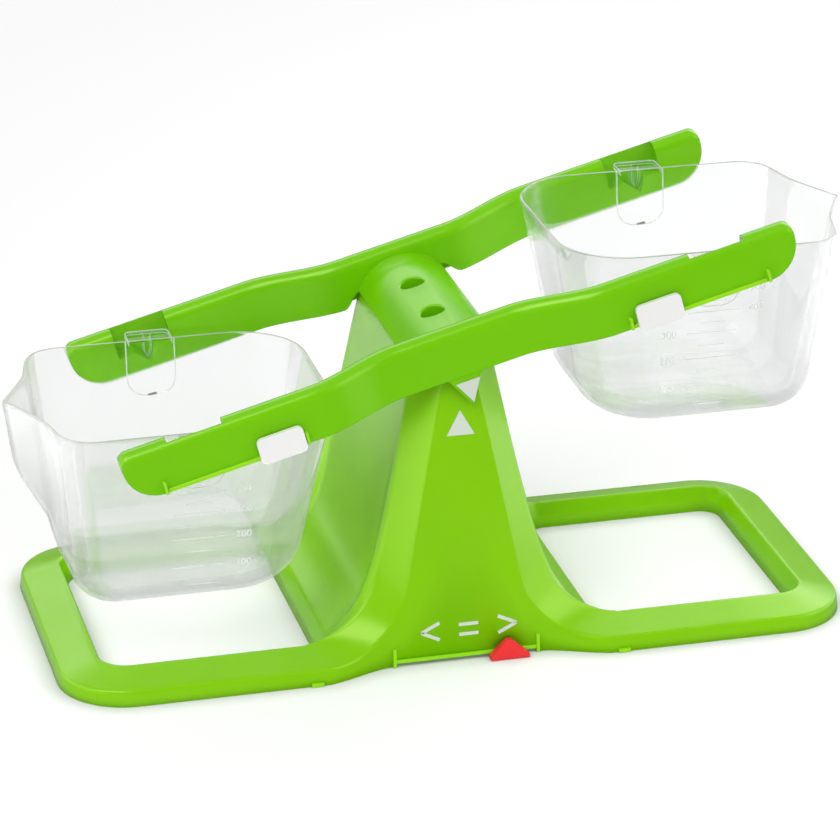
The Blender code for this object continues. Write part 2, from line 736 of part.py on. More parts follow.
def make_comparison_slider():
    """Red wedge that rides on the lower edge of the front panel."""
    low = WEDGE_FLOOR_GAP
    top = WEDGE_HEIGHT
    shift = OUTER_LEAN_SHARE
    back = -PANEL_DEPTH - LIP_REACH - GAP
    half = WEDGE_WIDTH / 2
    tip = WEDGE_TOP_WIDTH / 2
    rings = []
    base_side = low + WEDGE_SIDE
    outlines = [(half, low, WEDGE_REACH), (half, base_side, WEDGE_REACH), (tip, top, WEDGE_TOP_REACH)]
    for width, z, reach in outlines:
        rear = back + shift * z
        rings.append([(-width, rear, z), (width, rear, z), (width, back - reach, z), (-width, back - reach, z)])
    wedge = solid("wedge", rings)
    inside = -PANEL_DEPTH + WALL + GAP
    clip = [(back - BITE, low), (inside + WEDGE_TONGUE, low), (inside + WEDGE_TONGUE, low + WEDGE_TONGUE_HEIGHT),
            (inside + shift * WEDGE_TONGUE_HEIGHT, low + WEDGE_TONGUE_HEIGHT), (inside, low + WEDGE_WEB),
            (back - BITE, low + WEDGE_WEB)]
    width = half - WEDGE_SIDE
    join(wedge, solid("clip", [[(x, y, z) for y, z in clip] for x in (-width, width)]))
    place(wedge, (WEDGE_REST, 0, 0), Matrix.Identity(4))
    return wedge


# Buckets, drawn with the hanging axis at the origin and the spout towards +X


def spout_share(depth):
    return 1 - smoothstep((depth - SPOUT_STRAIGHT) / (SPOUT_DEPTH - SPOUT_STRAIGHT))


def front_outline(depth, inset):
    """Half of the bucket's front from the spout's tip round the corner to the side wall."""
    share = depth / BUCKET_DEPTH
    corner_x = lerp(CORNER_X_AT_RIM, FRONT_AT_BASE, share) - inset
    corner_y = lerp(CORNER_Y_AT_RIM, HALF_WIDTH_AT_BASE - CORNER_AT_BASE, share)
    end_x = lerp(CORNER_END_AT_RIM, FRONT_AT_BASE - CORNER_AT_BASE, share)
    half = lerp(HALF_WIDTH_AT_RIM, HALF_WIDTH_AT_BASE, share) - inset
    slant = FRONT_SLANT_SHARE * (1 - share)
    spout = spout_share(depth)
    tip = lerp(TIP_AT_RIM - SPOUT_REACH, FRONT_AT_BASE, share) + SPOUT_REACH * spout - inset
    reach = max(tip - corner_x - slant * corner_y, 0)
    spout_half = SPOUT_HALF * lerp(SPOUT_FADE_SHARE, 1, spout)
    points = []
    for i in range(FRONT_STEPS + 1):
        y = corner_y * i / FRONT_STEPS
        points.append((corner_x + slant * (corner_y - y) + reach * max(1 - y / spout_half, 0) ** SPOUT_POWER, y))
    a = Vector(points[-1])
    b = a + Vector((-slant, 1)) * BEZIER_SHARE * (half - corner_y)
    d = Vector((end_x, half))
    c = d + Vector((1, 0)) * BEZIER_SHARE * (corner_x - end_x)
    for i in range(1, CORNER_STEPS + 1):
        t = i / CORNER_STEPS
        p = a * (1 - t) ** 3 + b * 3 * t * (1 - t) ** 2 + c * 3 * t * t * (1 - t) + d * t ** 3
        points.append((p.x, p.y))
    return points


def bucket_ring(depth, inset):
    """Outline of the bucket's outer or inner surface at a depth below the rim."""
    share = depth / BUCKET_DEPTH
    back = lerp(BACK_AT_RIM, BACK_AT_BASE, share) - inset
    half = lerp(HALF_WIDTH_AT_RIM, HALF_WIDTH_AT_BASE, share) - inset
    radius = max(BACK_CORNER - inset, SMALLEST_RADIUS)
    upper = front_outline(depth, inset)
    upper += arc((radius - back, half - radius), radius, math.pi / 2, math.pi, CORNER_STEPS)
    ring = upper + [(x, -y) for x, y in upper[:0:-1]]
    return [(x, y, RIM_HEIGHT - depth) for x, y in ring]


def bucket_surface(inset):
    """Rings from the rim to the flat bottom."""
    floor = BUCKET_DEPTH - inset
    radius = BASE_ROUND - inset
    start = floor - radius
    rings = []
    for i in range(SPOUT_LEVELS + 1):
        t = i / SPOUT_LEVELS
        rings.append(bucket_ring(start * (1 - (1 - t) ** 1.3), inset))
    for i in range(1, BASE_ROUND_STEPS + 1):
        angle = math.pi / 2 * i / BASE_ROUND_STEPS
        rings.append(bucket_ring(start + radius * math.sin(angle), inset + radius * (1 - math.cos(angle))))
    return rings


def bucket_shell():
    outer = bucket_surface(0)
    inner = bucket_surface(BUCKET_WALL)
    bm = bmesh.new()
    loft(bm, inner[::-1] + outer)
    return add_object("shell", bm)


def bucket_wall_at(z):
    return lerp(HALF_WIDTH_AT_RIM, HALF_WIDTH_AT_BASE, (RIM_HEIGHT - z) / BUCKET_DEPTH)


def hanger_plate(side):
    """Plate that reaches from the rim over the beam's pocket."""
    top = RIM_HEIGHT - HANGER_BELOW_RIM
    half = HANGER_WIDTH / 2
    root = HALF_WIDTH_AT_RIM - HANGER_ROOT
    r = HANGER_CORNER
    outline = [(-half, root), (half, root)]
    outline += arc((half - r, HANGER_END - r), r, 0, math.pi / 2, PAD_STEPS)
    outline += arc((r - half, HANGER_END - r), r, math.pi / 2, math.pi, PAD_STEPS)
    return [[(x, y * side, z) for x, y in outline] for z in (top - HANGER_PLATE, top)]


def hanger_rib(side):
    """Upright rib under the plate, with a point that rocks in the pocket."""
    point = RIB_HALF / math.tan(RIB_POINT_HALF_ANGLE)
    top = RIM_HEIGHT - HANGER_BELOW_RIM - HANGER_PLATE / 2
    outline = [(-RIB_HALF, top), (-RIB_HALF, point), (0, 0), (RIB_HALF, point), (RIB_HALF, top)]
    ends = sorted((bucket_wall_at(0) * side - BITE * side, (HANGER_END - HANGER_CORNER) * side))
    return prism_y(outline, *ends)


def pad(side):
    """Raised shield on the bucket's wall below the hanger."""
    bottom = PAD_CORNER - PAD_BOTTOM
    levels = [(PAD_HALF_WIDTH, RIM_HEIGHT - PAD_BELOW_RIM), (PAD_HALF_WIDTH, bottom)]
    for i in range(1, PAD_STEPS + 1):
        angle = math.pi / 2 * i / PAD_STEPS
        half = PAD_HALF_WIDTH - PAD_CORNER + PAD_CORNER * math.cos(angle)
        levels.append((half, bottom - PAD_CORNER * math.sin(angle)))
    rings = []
    for half, z in levels:
        near = (bucket_wall_at(z) - BITE) * side
        far = (bucket_wall_at(z) + PAD_REACH) * side
        rings.append([(-half, near, z), (half, near, z), (half, far, z), (-half, far, z)])
    return rings


def make_bucket(sign):
    bucket = bucket_shell()
    join(bucket, solid("pads", pad(-1), pad(1)))
    join(bucket, solid("plates", hanger_plate(-1), hanger_plate(1)))
    join(bucket, solid("ribs", hanger_rib(-1), hanger_rib(1)))
    tilt = Matrix.Rotation(-TILT, 4, "Y")
    axis = Vector((0, 0, PIVOT_HEIGHT)) + tilt @ Vector((sign * HANG_OFFSET, 0, -HANG_DROP))
    turn = Matrix.Rotation(0 if sign > 0 else math.pi, 4, "Z")
    place(bucket, axis, turn)
    return bucket


def main():
    clear_scene()
    green = plastic("green_plastic", GREEN, 0.28, 1)
    clear = plastic("clear_plastic", CLEAR, 0.06, 0.35)
    white = plastic("white_plastic", WHITE, 0.30, 1)
    red = plastic("red_plastic", RED, 0.30, 1)
    finish(make_base(), "base_stand", green)
    finish(make_yoke(), "beam_yoke", green)
    finish(make_bucket(-1), "bucket_left", clear)
    finish(make_bucket(1), "bucket_right", clear)
    finish(make_slider(-SLIDER_REST_LEFT), "slider_left", white)
    finish(make_slider(SLIDER_REST_RIGHT), "slider_right", white)
    finish(make_comparison_slider(), "comparison_slider", red)


main()
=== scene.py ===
import math

import bmesh
import bpy
from mathutils import Matrix, Vector


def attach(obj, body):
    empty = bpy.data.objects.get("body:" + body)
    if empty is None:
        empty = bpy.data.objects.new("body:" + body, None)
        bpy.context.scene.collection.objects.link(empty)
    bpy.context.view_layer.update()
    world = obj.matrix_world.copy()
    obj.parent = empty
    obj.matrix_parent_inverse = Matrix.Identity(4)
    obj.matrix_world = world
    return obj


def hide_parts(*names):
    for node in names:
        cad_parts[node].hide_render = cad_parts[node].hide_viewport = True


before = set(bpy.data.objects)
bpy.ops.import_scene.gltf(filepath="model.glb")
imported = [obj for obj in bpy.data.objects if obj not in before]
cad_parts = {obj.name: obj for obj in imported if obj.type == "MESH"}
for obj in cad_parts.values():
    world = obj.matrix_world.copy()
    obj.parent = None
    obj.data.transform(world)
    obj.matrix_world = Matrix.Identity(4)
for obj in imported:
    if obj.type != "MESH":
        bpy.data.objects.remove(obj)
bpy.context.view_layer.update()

# Camera
PICTURE = 840
SENSOR = 36.0
AZIMUTH = -0.2661
ELEVATION = 0.3941
ROLL = 0.0065
FOCAL_PIXELS = 3964.5
DISTANCE = 1.63817
TARGET = (0.01888, 0, 0.07813)
CENTRE_PIXEL = (471.6, 417.6)
CLIP_END = 100

# Light on the object, and the lamps as name, place, target, size and watts
SOFT_LIGHT = 0.50
WHITE = (1, 1, 1, 1)
LAMPS = (("key", (-0.9, -0.9, 1.6), (0, 0, 0.08), 1.2, 20),
         ("fill", (1.2, -0.8, 0.9), (0, 0, 0.08), 1.0, 5),
         ("rim", (0.5, 0.45, 0.65), (0.1, 0, 0.02), 0.5, 1.8))

# What gloss reflects above: bright sides, a calmer ceiling, and a dark front and far wall.
# The ends are where each of them fades, along the direction's Y or Z.
STUDIO_DARK = 0.02
STUDIO_BACK = 0.2
STUDIO_SIDES = 1.9
STUDIO_ABOVE = 0.5
STUDIO_FRONT_ENDS = (-0.75, -0.45)
STUDIO_HEIGHT_ENDS = (0.50, 0.85)
STUDIO_BEHIND_ENDS = (0.60, 0.85)
STUDIO_LOW_ENDS = (0.24, 0.42)

# What gloss reflects of the floor, by direction and by distance in metres
FLOOR_SIDES = 2.2
FLOOR_BACK = 1.0
FLOOR_NEAR = 0.12
FLOOR_LEFT = 1.6
FLOOR_FRONT_ENDS = (-0.80, -0.48)
FLOOR_BEHIND_ENDS = (0.35, 0.75)
FLOOR_LEFT_ENDS = (-0.85, -0.55)
FLOOR_NEAR_ENDS = (0.16, 0.42)

# The floor as it is seen, its light on the object, and its painted contact shadow close to what touches it
FLOOR_HALF = 2.5
FLOOR_COLOUR = (0.86, 0.86, 0.86)
FLOOR_CONTACT_SHADE = (0.40, 0.40, 0.40)
FLOOR_GLOW = (0.15, 0.56)
FLOOR_BOUNCE = 0.45
GLOW_ENDS = (0.15, 2.2)
BOUNCE_ENDS = (0.12, 0.60)
CONTACT = 0.010
CONTACT_SAMPLES = 8
PAPER_GRAIN = (900, 3)
PAPER_STRENGTH = 0.03
PAPER_DEPTH = 0.0001

# Plastic: noises as scale and detail, and the relief of its skin
MOTTLE = (22, 3)
GLOSS_PATCHES = (60, 4)
GLOSS_VARIES = 0.03
SKIN_GRAIN = (1600, 2)
SKIN_STRENGTH = 0.04
SKIN_DEPTH = 0.00006
PRINT_STRENGTH = 0.2
GREEN_TINT = (0.92, 1.0, 0.42)
GREEN_EDGE = 0.0005
SLIDER_EDGE = 0.0005
WEDGE_EDGE = 0.0004
TRIM_EDGE = 0.0002
CAD_SEGMENTS = 3
TRIM_SEGMENTS = 2
CLEAR_COLOURS = ((0.800, 0.812, 0.812), (0.835, 0.847, 0.845))
CLEAR_MOTTLE = (30, 2)
CLEAR_GLOSS_PATCHES = (45, 3)
CLEAR_ROUGHNESS = (0.015, 0.05)
CLEAR_WAVES = (55, 1)
CLEAR_WAVE_STRENGTH = 0.25
CLEAR_WAVE_DEPTH = 0.0002
CLEAR_IOR = 1.32
CLEAR_BODY = 0.50
CLEAR_SHADOW = 0.15
LIT_EDGE_ALPHA = 0.8

# Meshes: angles in degrees
SHARP = 36
SHARP_STAND = 50
SHARP_BUCKET = 40
BEVEL_FROM = 30
FLAT_WITHIN = 0.4
MERGE = 0.000004

# Places that the CAD source shares
PIVOT_HEIGHT = 0.1244
TILT = math.radians(15)
BEAM_HALF_LENGTH = 0.1410
BEAM_TOP = 0.0155
BEAM_BOTTOM = 0.0050
BEAM_THICKNESS = 0.0096
BEAM_INNER = 0.0552
BEAM_BOW = 0.0106
HANG_OFFSET = 0.1095
HANG_DROP = 0.0012
PANEL_DEPTH = 0.0642
OUTER_LEAN = 0.122

# Yoke
BOW_START = 0.0240
BOW_END = 0.0620
BOWS = 26
WALL = 0.0020
STEP_RUN = 0.0003
OVERRUN = 0.0040
END_TOP = 0.0034
END_BOTTOM = 0.0140
ENDS = 16
BEAM_EDGE = 0.0044
EDGE_LIMIT = 0.42
EDGES = 9
LIFT_START = 0.0183
LIFT_END = 0.0262
LIFTS = 10
SADDLE_HALF = 0.0183
SADDLE_EDGE = 0.0009
SADDLE_CROWN = 0.0098
SADDLE_END_CROWN = 0.0113
SADDLE_BLEND = 0.0080
BLENDS = 10
ARCHES = 44
HOLE_RADIUS = 0.0058
HOLE_OFFSET = 0.0165
HOLE_DEPTH = 0.0082
HOLE_MOUTH = 0.0009
HOLE_SIDES = 72
MOUTHS = 6
CUP_WALL = 0.0014
CUP_TOP = 0.0082
BEARING_HALF_LENGTH = 0.0280
BEARING_HALF_WIDTH = 0.0035
BEARING_DROP = 0.0011
NOTCH_HALF_ANGLE = math.radians(52)
POCKET_HALF = 0.0116
POCKET_SIDE = 0.0020
SHOULDER_HALF = 0.0080
SHOULDER_HEIGHT = 0.0031
HUMP_HEIGHT = 0.0038
HUMP_OFFSET = 0.0056
SEAT_HALF_ANGLE = math.radians(42)
CHANNEL_UNDER_POCKET = 0.0020
POINTER_HALF = 0.0075
POINTER_DROP = 0.0132
POINTER_SET_BACK = 0.0002
TRACK_START = 0.0682
TRACK_END = 0.1269
TRACK_REVEAL = 0.0002
TRACK_LIP_HEIGHT = 0.0016
TRACK_LIP_REACH = 0.0008
TRACK_TICK_HEIGHT = 0.0052
TRACK_TICK_REACH = 0.0020
TRACK_TICK_WIDTH = 0.0012

# Ring base and stand
BASE_HALF_LENGTH = 0.1644
BASE_HALF_WIDTH = 0.0735
BASE_CORNER = 0.0285
RAIL_TOP = 0.0168
RAIL_LEAN = 0.0036
RAIL_HEIGHT = 0.0108
CREASE_HEIGHT = 0.0066
PANEL_HALF = 0.0299
SIDE_HALF = 0.0403
TAPER = 0.195
PANEL_SWEEP = 0.0310
SIDE_SWEEP = 0.0335
OUTLINE_START = 0.0290
OUTLINE_END = 0.0620
BAND_LEANS = ((0.168, 1), (0.066, -1))
FOOT_HALF = 0.0552
FOOT_CORNER = 0.0110
FLARE_SHARE = 0.437
FLARE_HEIGHT = 0.0084
STATION_POWER = 1.7
STAND_TOP = 0.12023
SKIN = 0.0016
EDGE_ROUND = 0.0011
ROUND_STEPS = (-1.2, -0.7, -0.3, 0, 0.3, 0.7, 1.2)
BAND_SHARES = (0.2, 0.3, 0.5, 0.7, 0.8)
AVERAGED = 4
END_SHARE = 0.7
RAIL_SHARES = (0.85, 0.5, 0.14, 0.05)
TIE_BREAK = 0.001
TOUCH = 0.00001
SWEEPS = 26
RISES = 14
SCOOPS = 22
SIDES = 10
CORNERS = 20

# Trim at the foot of the stand
LIP_HALF = 0.0293
LIP_BOTTOM = 0.0016
LIP_HEIGHT = 0.0014
LIP_REACH = 0.0009
TICK_WIDTH = 0.0014
TICK_REACH = 0.0013
TICK_HEIGHT = 0.0076
SLOT_HEIGHT = 0.0016
NUB_OFFSET = 0.0640
NUB_WIDTH = 0.0050
NUB_REACH = 0.0010
NUB_HEIGHT = 0.0016
KNIFE_HALF_LENGTH = 0.0300
KNIFE_HALF_ANGLE = math.radians(30)
BITE = 0.0010
GAP = 0.0003

# Buckets, measured from the hanging axis
BUCKET_SIDES = (("left", -1), ("right", 1))
RIM_HEIGHT = 0.0104
BUCKET_DEPTH = 0.0790
BUCKET_WALL = 0.0018
BACK_AT_RIM = 0.0600
BACK_AT_BASE = 0.0450
TIP_AT_RIM = 0.0700
FRONT_AT_BASE = 0.0478
HALF_AT_RIM = 0.0522
HALF_AT_BASE = 0.0420
BACK_CORNER = 0.0290
CORNER_X = 0.0548
CORNER_Y = 0.0395
CORNER_END = 0.0395
CORNER_AT_BASE = 0.0175
SLANT = 0.22
BEZIER = 0.55
BASE_ROUND = 0.0150
SPOUT_REACH = 0.0113
SPOUT_HALF = 0.0250
SPOUT_STRAIGHT = 0.0240
SPOUT_DEPTH = 0.0620
SPOUT_FADE = 0.5
SPOUT_POWER = 1.15
FRONTS = 20
BENDS = 12
LEVELS = 16
LEVEL_POWER = 1.3
ROUNDS = 8
RIMS = 8
FLOOR_SHARES = (0.66, 0.33)
HANGER_HALF = 0.0091
HANGER_END = 0.0622
HANGER_PLATE = 0.0014
HANGER_DROP = 0.0002
HANGER_CORNER = 0.0026
HANGER_BENDS = 6
RIB_HALF = 0.0015
RIB_POINT = math.radians(24)
PAD_HALF = 0.0102
PAD_DROP = 0.0010
PAD_BOTTOM = 0.0136
PAD_CORNER = 0.0076
PAD_REACH = 0.0008
PAD_BENDS = 8
STRAND_SIDES = 6
EDGE_LINE = 0.00026
HANGER_LINE = 0.000208
RIM_LINE = 0.00024
# The next four give the painted shade line below the back pad, not a slot: half its length, its radius, its
# drop below the pad, and its slope.
SHADE_HALF = 0.0018
SHADE_LINE = 0.0004
SHADE_DROP = 0.0006
SHADE_SLOPE = 0.15

# Prints on the panel's slope, on the beam and on the buckets' walls. PRINT_HALF and SCALE_HALF are half
# of a print's thickness, and the lines of the scale are given by half their length and height.
PRINT_HALF = 0.00012
SIGN_WIDTH = 0.0014
SIGN_PLACES = ((-0.0149, 0.0131, 1), (0.0174, 0.0134, -1))
SIGN_TIP = 0.0037
SIGN_END = 0.0039
SIGN_OPEN = 0.0036
EQUALS_ENDS = (-0.0029, 0.0052)
EQUALS_HEIGHTS = (0.0109, 0.0151)
PANEL_TRIANGLE = [(-0.0058, 0.0945), (0.0058, 0.0945), (0, 0.1048)]
POINTER_TRIANGLE = [(-0.0044, -0.0074), (0.0058, -0.0074), (0.0008, -0.0171)]
SCALE_LIFT = 0.00012
SCALE_HALF = 0.00006
SCALE_LEVELS = (0.0612, 0.0481, 0.0364, 0.0269, 0.0176)
SCALE_LONG = 0.0107
SCALE_LONG_HEIGHT = 0.00016
SCALE_HALVES = (0.0694, 0.0541, 0.0422, 0.0318, 0.0222)
SCALE_SHORT = 0.0055
SCALE_SHORT_HEIGHT = 0.00012
LABEL_SIZE = 0.0043
LABEL_LEFT = -0.0183
LABEL_RIGHT = 0.0181
LABELS_ON_LEFT = {"left": (500,), "right": (100, 200, 300)}


# Helpers


def lerp(a, b, t):
    return a + (b - a) * t


def smoothstep(t):
    t = min(max(t, 0), 1)
    return t * t * (3 - 2 * t)


def arc(centre, radius, start, end, steps):
    """Points on a circle from one angle to another, both ends among them."""
    angles = [lerp(start, end, i / steps) for i in range(steps + 1)]
    return [(centre[0] + radius * math.cos(a), centre[1] + radius * math.sin(a)) for a in angles]


# Materials


class Graph:
    """The nodes of a material or world, with short ways to add and feed them."""

    def __init__(self, owner):
        owner.use_nodes = True
        self.nodes, self.links = owner.node_tree.nodes, owner.node_tree.links

    def add(self, kind, inputs, **settings):
        node = self.nodes.new("ShaderNode" + kind)
        for name, value in settings.items():
            setattr(node, name, value)
        self.feed(node, inputs)
        return node

    def feed(self, node, inputs):
        """Links an input to a socket, or gives it a value."""
        for key, value in inputs.items():
            if isinstance(value, bpy.types.NodeSocket):
                self.links.new(value, node.inputs[key])
            else:
                node.inputs[key].default_value = value

    def noise(self, scale, detail):
        place = self.add("TexCoord", {}).outputs["Object"]
        return self.add("TexNoise", {"Scale": scale, "Detail": detail, "Vector": place}).outputs[0]

    def spread(self, source, low, high):
        """Maps a noise's useful middle range to the range from low to high."""
        inputs = {"Value": source, "From Min": 0.3, "From Max": 0.7, "To Min": low, "To Max": high}
        return self.add("MapRange", inputs).outputs["Result"]

    def ramp(self, source, ends, at_low, at_high):
        low, high = ends
        inputs = {"Value": source, "From Min": low, "From Max": high, "To Min": at_low, "To Max": at_high}
        return self.add("MapRange", inputs, interpolation_type="SMOOTHSTEP").outputs["Result"]

    def math(self, operation, a, b, clamp=False):
        return self.add("Math", {0: a, 1: b}, operation=operation, use_clamp=clamp).outputs[0]

    def mix_colours(self, share, first, second):
        inputs = {0: share, 6: (*first, 1), 7: (*second, 1)}
        return self.add("Mix", inputs, data_type="RGBA").outputs[2]

    def mix_shaders(self, share, first, second):
        return self.add("MixShader", {"Fac": share, 1: first, 2: second}).outputs[0]

    def reflected(self, path):
        """One for a ray that came off a glossy surface, and zero for one that went through glass."""
        rays = path.outputs["Is Glossy Ray"], path.outputs["Is Transmission Ray"]
        return self.math("SUBTRACT", *rays, clamp=True)

    def seen(self, path):
        """One for what the camera sees, straight or through glass."""
        return self.math("MAXIMUM", path.outputs["Is Camera Ray"], path.outputs["Is Transmission Ray"])


def new_material(name):
    item = bpy.data.materials.new(name)
    graph = Graph(item)
    return item, graph, graph.nodes["Principled BSDF"]


def moulded(name, light, dark, rough, specular=0.5, bump=SKIN_STRENGTH, tint=(1, 1, 1), edge=0):
    """Plastic with a faint flow mottle, uneven gloss and a very fine moulded skin."""
    item, graph, shader = new_material(name)
    relief = {"Strength": bump, "Distance": SKIN_DEPTH, "Height": graph.noise(*SKIN_GRAIN)}
    if edge:
        relief["Normal"] = graph.add("Bevel", {"Radius": edge}).outputs[0]
    graph.feed(shader, {
        "Base Color": graph.mix_colours(graph.spread(graph.noise(*MOTTLE), 0, 1), dark, light),
        "Roughness": graph.spread(graph.noise(*GLOSS_PATCHES), rough - GLOSS_VARIES, rough + GLOSS_VARIES),
        "Normal": graph.add("Bump", relief).outputs[0],
        "Specular IOR Level": specular,
        "Specular Tint": (*tint, 1)})
    return item


def clear_plastic():
    """Thin clear plastic, with faint waves and a light shadow."""
    item, graph, shader = new_material("clear_plastic")
    waves = graph.noise(*CLEAR_WAVES)
    relief = {"Strength": CLEAR_WAVE_STRENGTH, "Distance": CLEAR_WAVE_DEPTH, "Height": waves}
    shadow_ray = graph.add("LightPath", {}).outputs["Is Shadow Ray"]
    graph.feed(shader, {
        "Base Color": graph.mix_colours(graph.spread(graph.noise(*CLEAR_MOTTLE), 0, 1), *CLEAR_COLOURS),
        "Roughness": graph.spread(graph.noise(*CLEAR_GLOSS_PATCHES), *CLEAR_ROUGHNESS),
        "Normal": graph.add("Bump", relief).outputs[0],
        "IOR": CLEAR_IOR,
        "Transmission Weight": 1,
        "Alpha": graph.ramp(shadow_ray, (0, 1), CLEAR_BODY, CLEAR_SHADOW)})
    return item


def lit_edge(name, light, dark):
    """Painted highlight: a pale line along an edge of clear plastic, for the light that the edge catches.
    """
    item = moulded(name, light, dark, rough=0.20)
    item.node_tree.nodes["Principled BSDF"].inputs["Alpha"].default_value = LIT_EDGE_ALPHA
    return item


def printed(name, light, dark):
    return moulded(name, light, dark, rough=0.45, specular=0.4, bump=PRINT_STRENGTH)


# Mesh helpers


def link_object(name, data):
    item = bpy.data.objects.new(name, data)
    bpy.context.scene.collection.objects.link(item)
    return item


def dress(item, finish, sharp):
    """Gives a mesh one material, and smooth shading between its sharp edges."""
    item.data.materials.clear()
    item.data.materials.append(finish)
    item.data.shade_smooth()
    item.data.set_sharp_from_angle(angle=math.radians(sharp))


def new_object(name, bm, finish, sharp=SHARP):
    bmesh.ops.remove_doubles(bm, verts=bm.verts, dist=MERGE)
    bmesh.ops.dissolve_degenerate(bm, edges=bm.edges, dist=MERGE)
    bmesh.ops.recalc_face_normals(bm, faces=bm.faces)
    mesh = bpy.data.meshes.new(name)
    bm.to_mesh(mesh)
    bm.free()
    item = link_object(name, mesh)
    dress(item, finish, sharp)
    return item


def loft(bm, rings):
    """Closed skin over a list of rings, with flat ends."""
    rows = [[bm.verts.new(p) for p in ring] for ring in rings]
    for a, b in zip(rows, rows[1:]):
        for i in range(len(a)):
            j = (i + 1) % len(a)
            bm.faces.new((a[i], a[j], b[j], b[i]))
    bm.faces.new(rows[0])
    bm.faces.new(rows[-1][::-1])


def solid(name, finish, *parts):
    bm = bmesh.new()
    for rings in parts:
        loft(bm, rings)
    return new_object(name, bm, finish)


def soften(item, width, segments):
    bevel = item.modifiers.new("soft edges", "BEVEL")
    bevel.width = width
    bevel.segments = segments
    bevel.limit_method = "ANGLE"
    bevel.angle_limit = math.radians(BEVEL_FROM)
    bevel.use_clamp_overlap = False
    return item


def soften_cad(item, width):
    """Joins the frame's coplanar triangles before the edges are rounded."""
    flat = item.modifiers.new("flat faces", "DECIMATE")
    flat.decimate_type = "DISSOLVE"
    flat.angle_limit = math.radians(FLAT_WITHIN)
    soften(item, width, CAD_SEGMENTS)


def apply_modifiers(item):
    depsgraph = bpy.context.evaluated_depsgraph_get()
    mesh = bpy.data.meshes.new_from_object(item.evaluated_get(depsgraph))
    item.modifiers.clear()
    item.data = mesh


def combine(item, other, operation):
    modifier = item.modifiers.new(operation, "BOOLEAN")
    modifier.operation = operation
    modifier.solver = "EXACT"
    modifier.object = other
    apply_modifiers(item)
    bpy.data.objects.remove(other)


def prism_y(outline, start, end):
    """An outline given as (x, z), drawn out along Y."""
    return [[(x, y, z) for x, z in outline] for y in (start, end)]


def box(low, high):
    ring = [(low[0], low[1]), (high[0], low[1]), (high[0], high[1]), (low[0], high[1])]
    return [[(x, y, z) for x, y in ring] for z in (low[2], high[2])]


# Stand


def outline_depth(x):
    """Distance of the base's front edge from the middle, which grows from the panel to the rails."""
    share = (x - OUTLINE_START) / (OUTLINE_END - OUTLINE_START)
    return lerp(PANEL_DEPTH, BASE_HALF_WIDTH, smoothstep(share))


def sweep(half, height, radius):
    """Curve as (x, z) that leaves the rail level and climbs to the top of the stand."""
    corner = half - TAPER * height
    turn = math.pi / 2 - math.atan(TAPER)
    centre = (corner + radius * math.tan(turn / 2), height + radius)
    points = arc(centre, radius, -math.pi / 2, -math.pi / 2 - turn, SWEEPS)
    bottom = points[-1][1]
    for i in range(1, RISES + 1):
        z = lerp(bottom, STAND_TOP, i / RISES)
        points.append((half - TAPER * z, z))
    return points


def scoop(edge, foot):
    """Points down the stand's hollow side from its edge to the top of the opening's wall."""
    height = edge.z - foot.z
    end = math.exp(-height / FLARE_HEIGHT)
    points = []
    for i in range(SCOOPS, -1, -1):
        share = (i / SCOOPS) ** STATION_POWER
        flare = math.exp(-share * height / FLARE_HEIGHT) - share * end
        plan = edge.lerp(foot, (1 - FLARE_SHARE) * (1 - share) + FLARE_SHARE * flare)
        points.append(Vector((plan.x, plan.y, lerp(foot.z, edge.z, share))))
    return points


def soft_row(points, corners):
    """The section at a fixed number of stations, with its corners rounded by averaging around them."""
    lengths = [0]
    for a, b in zip(points, points[1:]):
        lengths.append(lengths[-1] + (b - a).length)
    total = lengths[-1]

    def at(s):
        k = 0
        while k < len(points) - 2 and (lengths[k + 1] < s or lengths[k + 1] == lengths[k]):
            k += 1
        span = lengths[k + 1] - lengths[k]
        return points[k].lerp(points[k + 1], (s - lengths[k]) / span) if span else points[k].copy()

    crease, edge, foot = (lengths[i] for i in corners)
    stations = [0, crease / 2, crease - EDGE_ROUND * 3, crease - EDGE_ROUND * 2, (foot + total) / 2, total]
    stations += [corner + EDGE_ROUND * t for corner in (crease, edge, foot) for t in ROUND_STEPS]
    stations += [lerp(crease, edge, t) for t in BAND_SHARES]
    stations += [lerp(edge, foot, 1 - (i / SCOOPS) ** STATION_POWER) for i in range(1, SCOOPS)]
    row = []
    for s in sorted(min(max(s, 0), total) for s in stations):
        reach = min(EDGE_ROUND, s, total - s)
        middle = Vector()
        for i in range(-AVERAGED, AVERAGED + 1):
            middle += at(s + reach * (i / AVERAGED))
        row.append(middle / (AVERAGED * 2 + 1))
    return row


def opening_corner(angle, edge_x):
    """Top and bottom of the opening's wall at an angle around its corner."""
    centre_y = -(BASE_HALF_WIDTH - RAIL_TOP - FOOT_CORNER)
    points = []
    for lean, z in ((0, RAIL_HEIGHT), (RAIL_LEAN, 0)):
        x = edge_x + (edge_x - FOOT_HALF - lean) * math.cos(angle)
        points.append(Vector((x, centre_y + (FOOT_CORNER - lean) * math.sin(angle), z)))
    return points


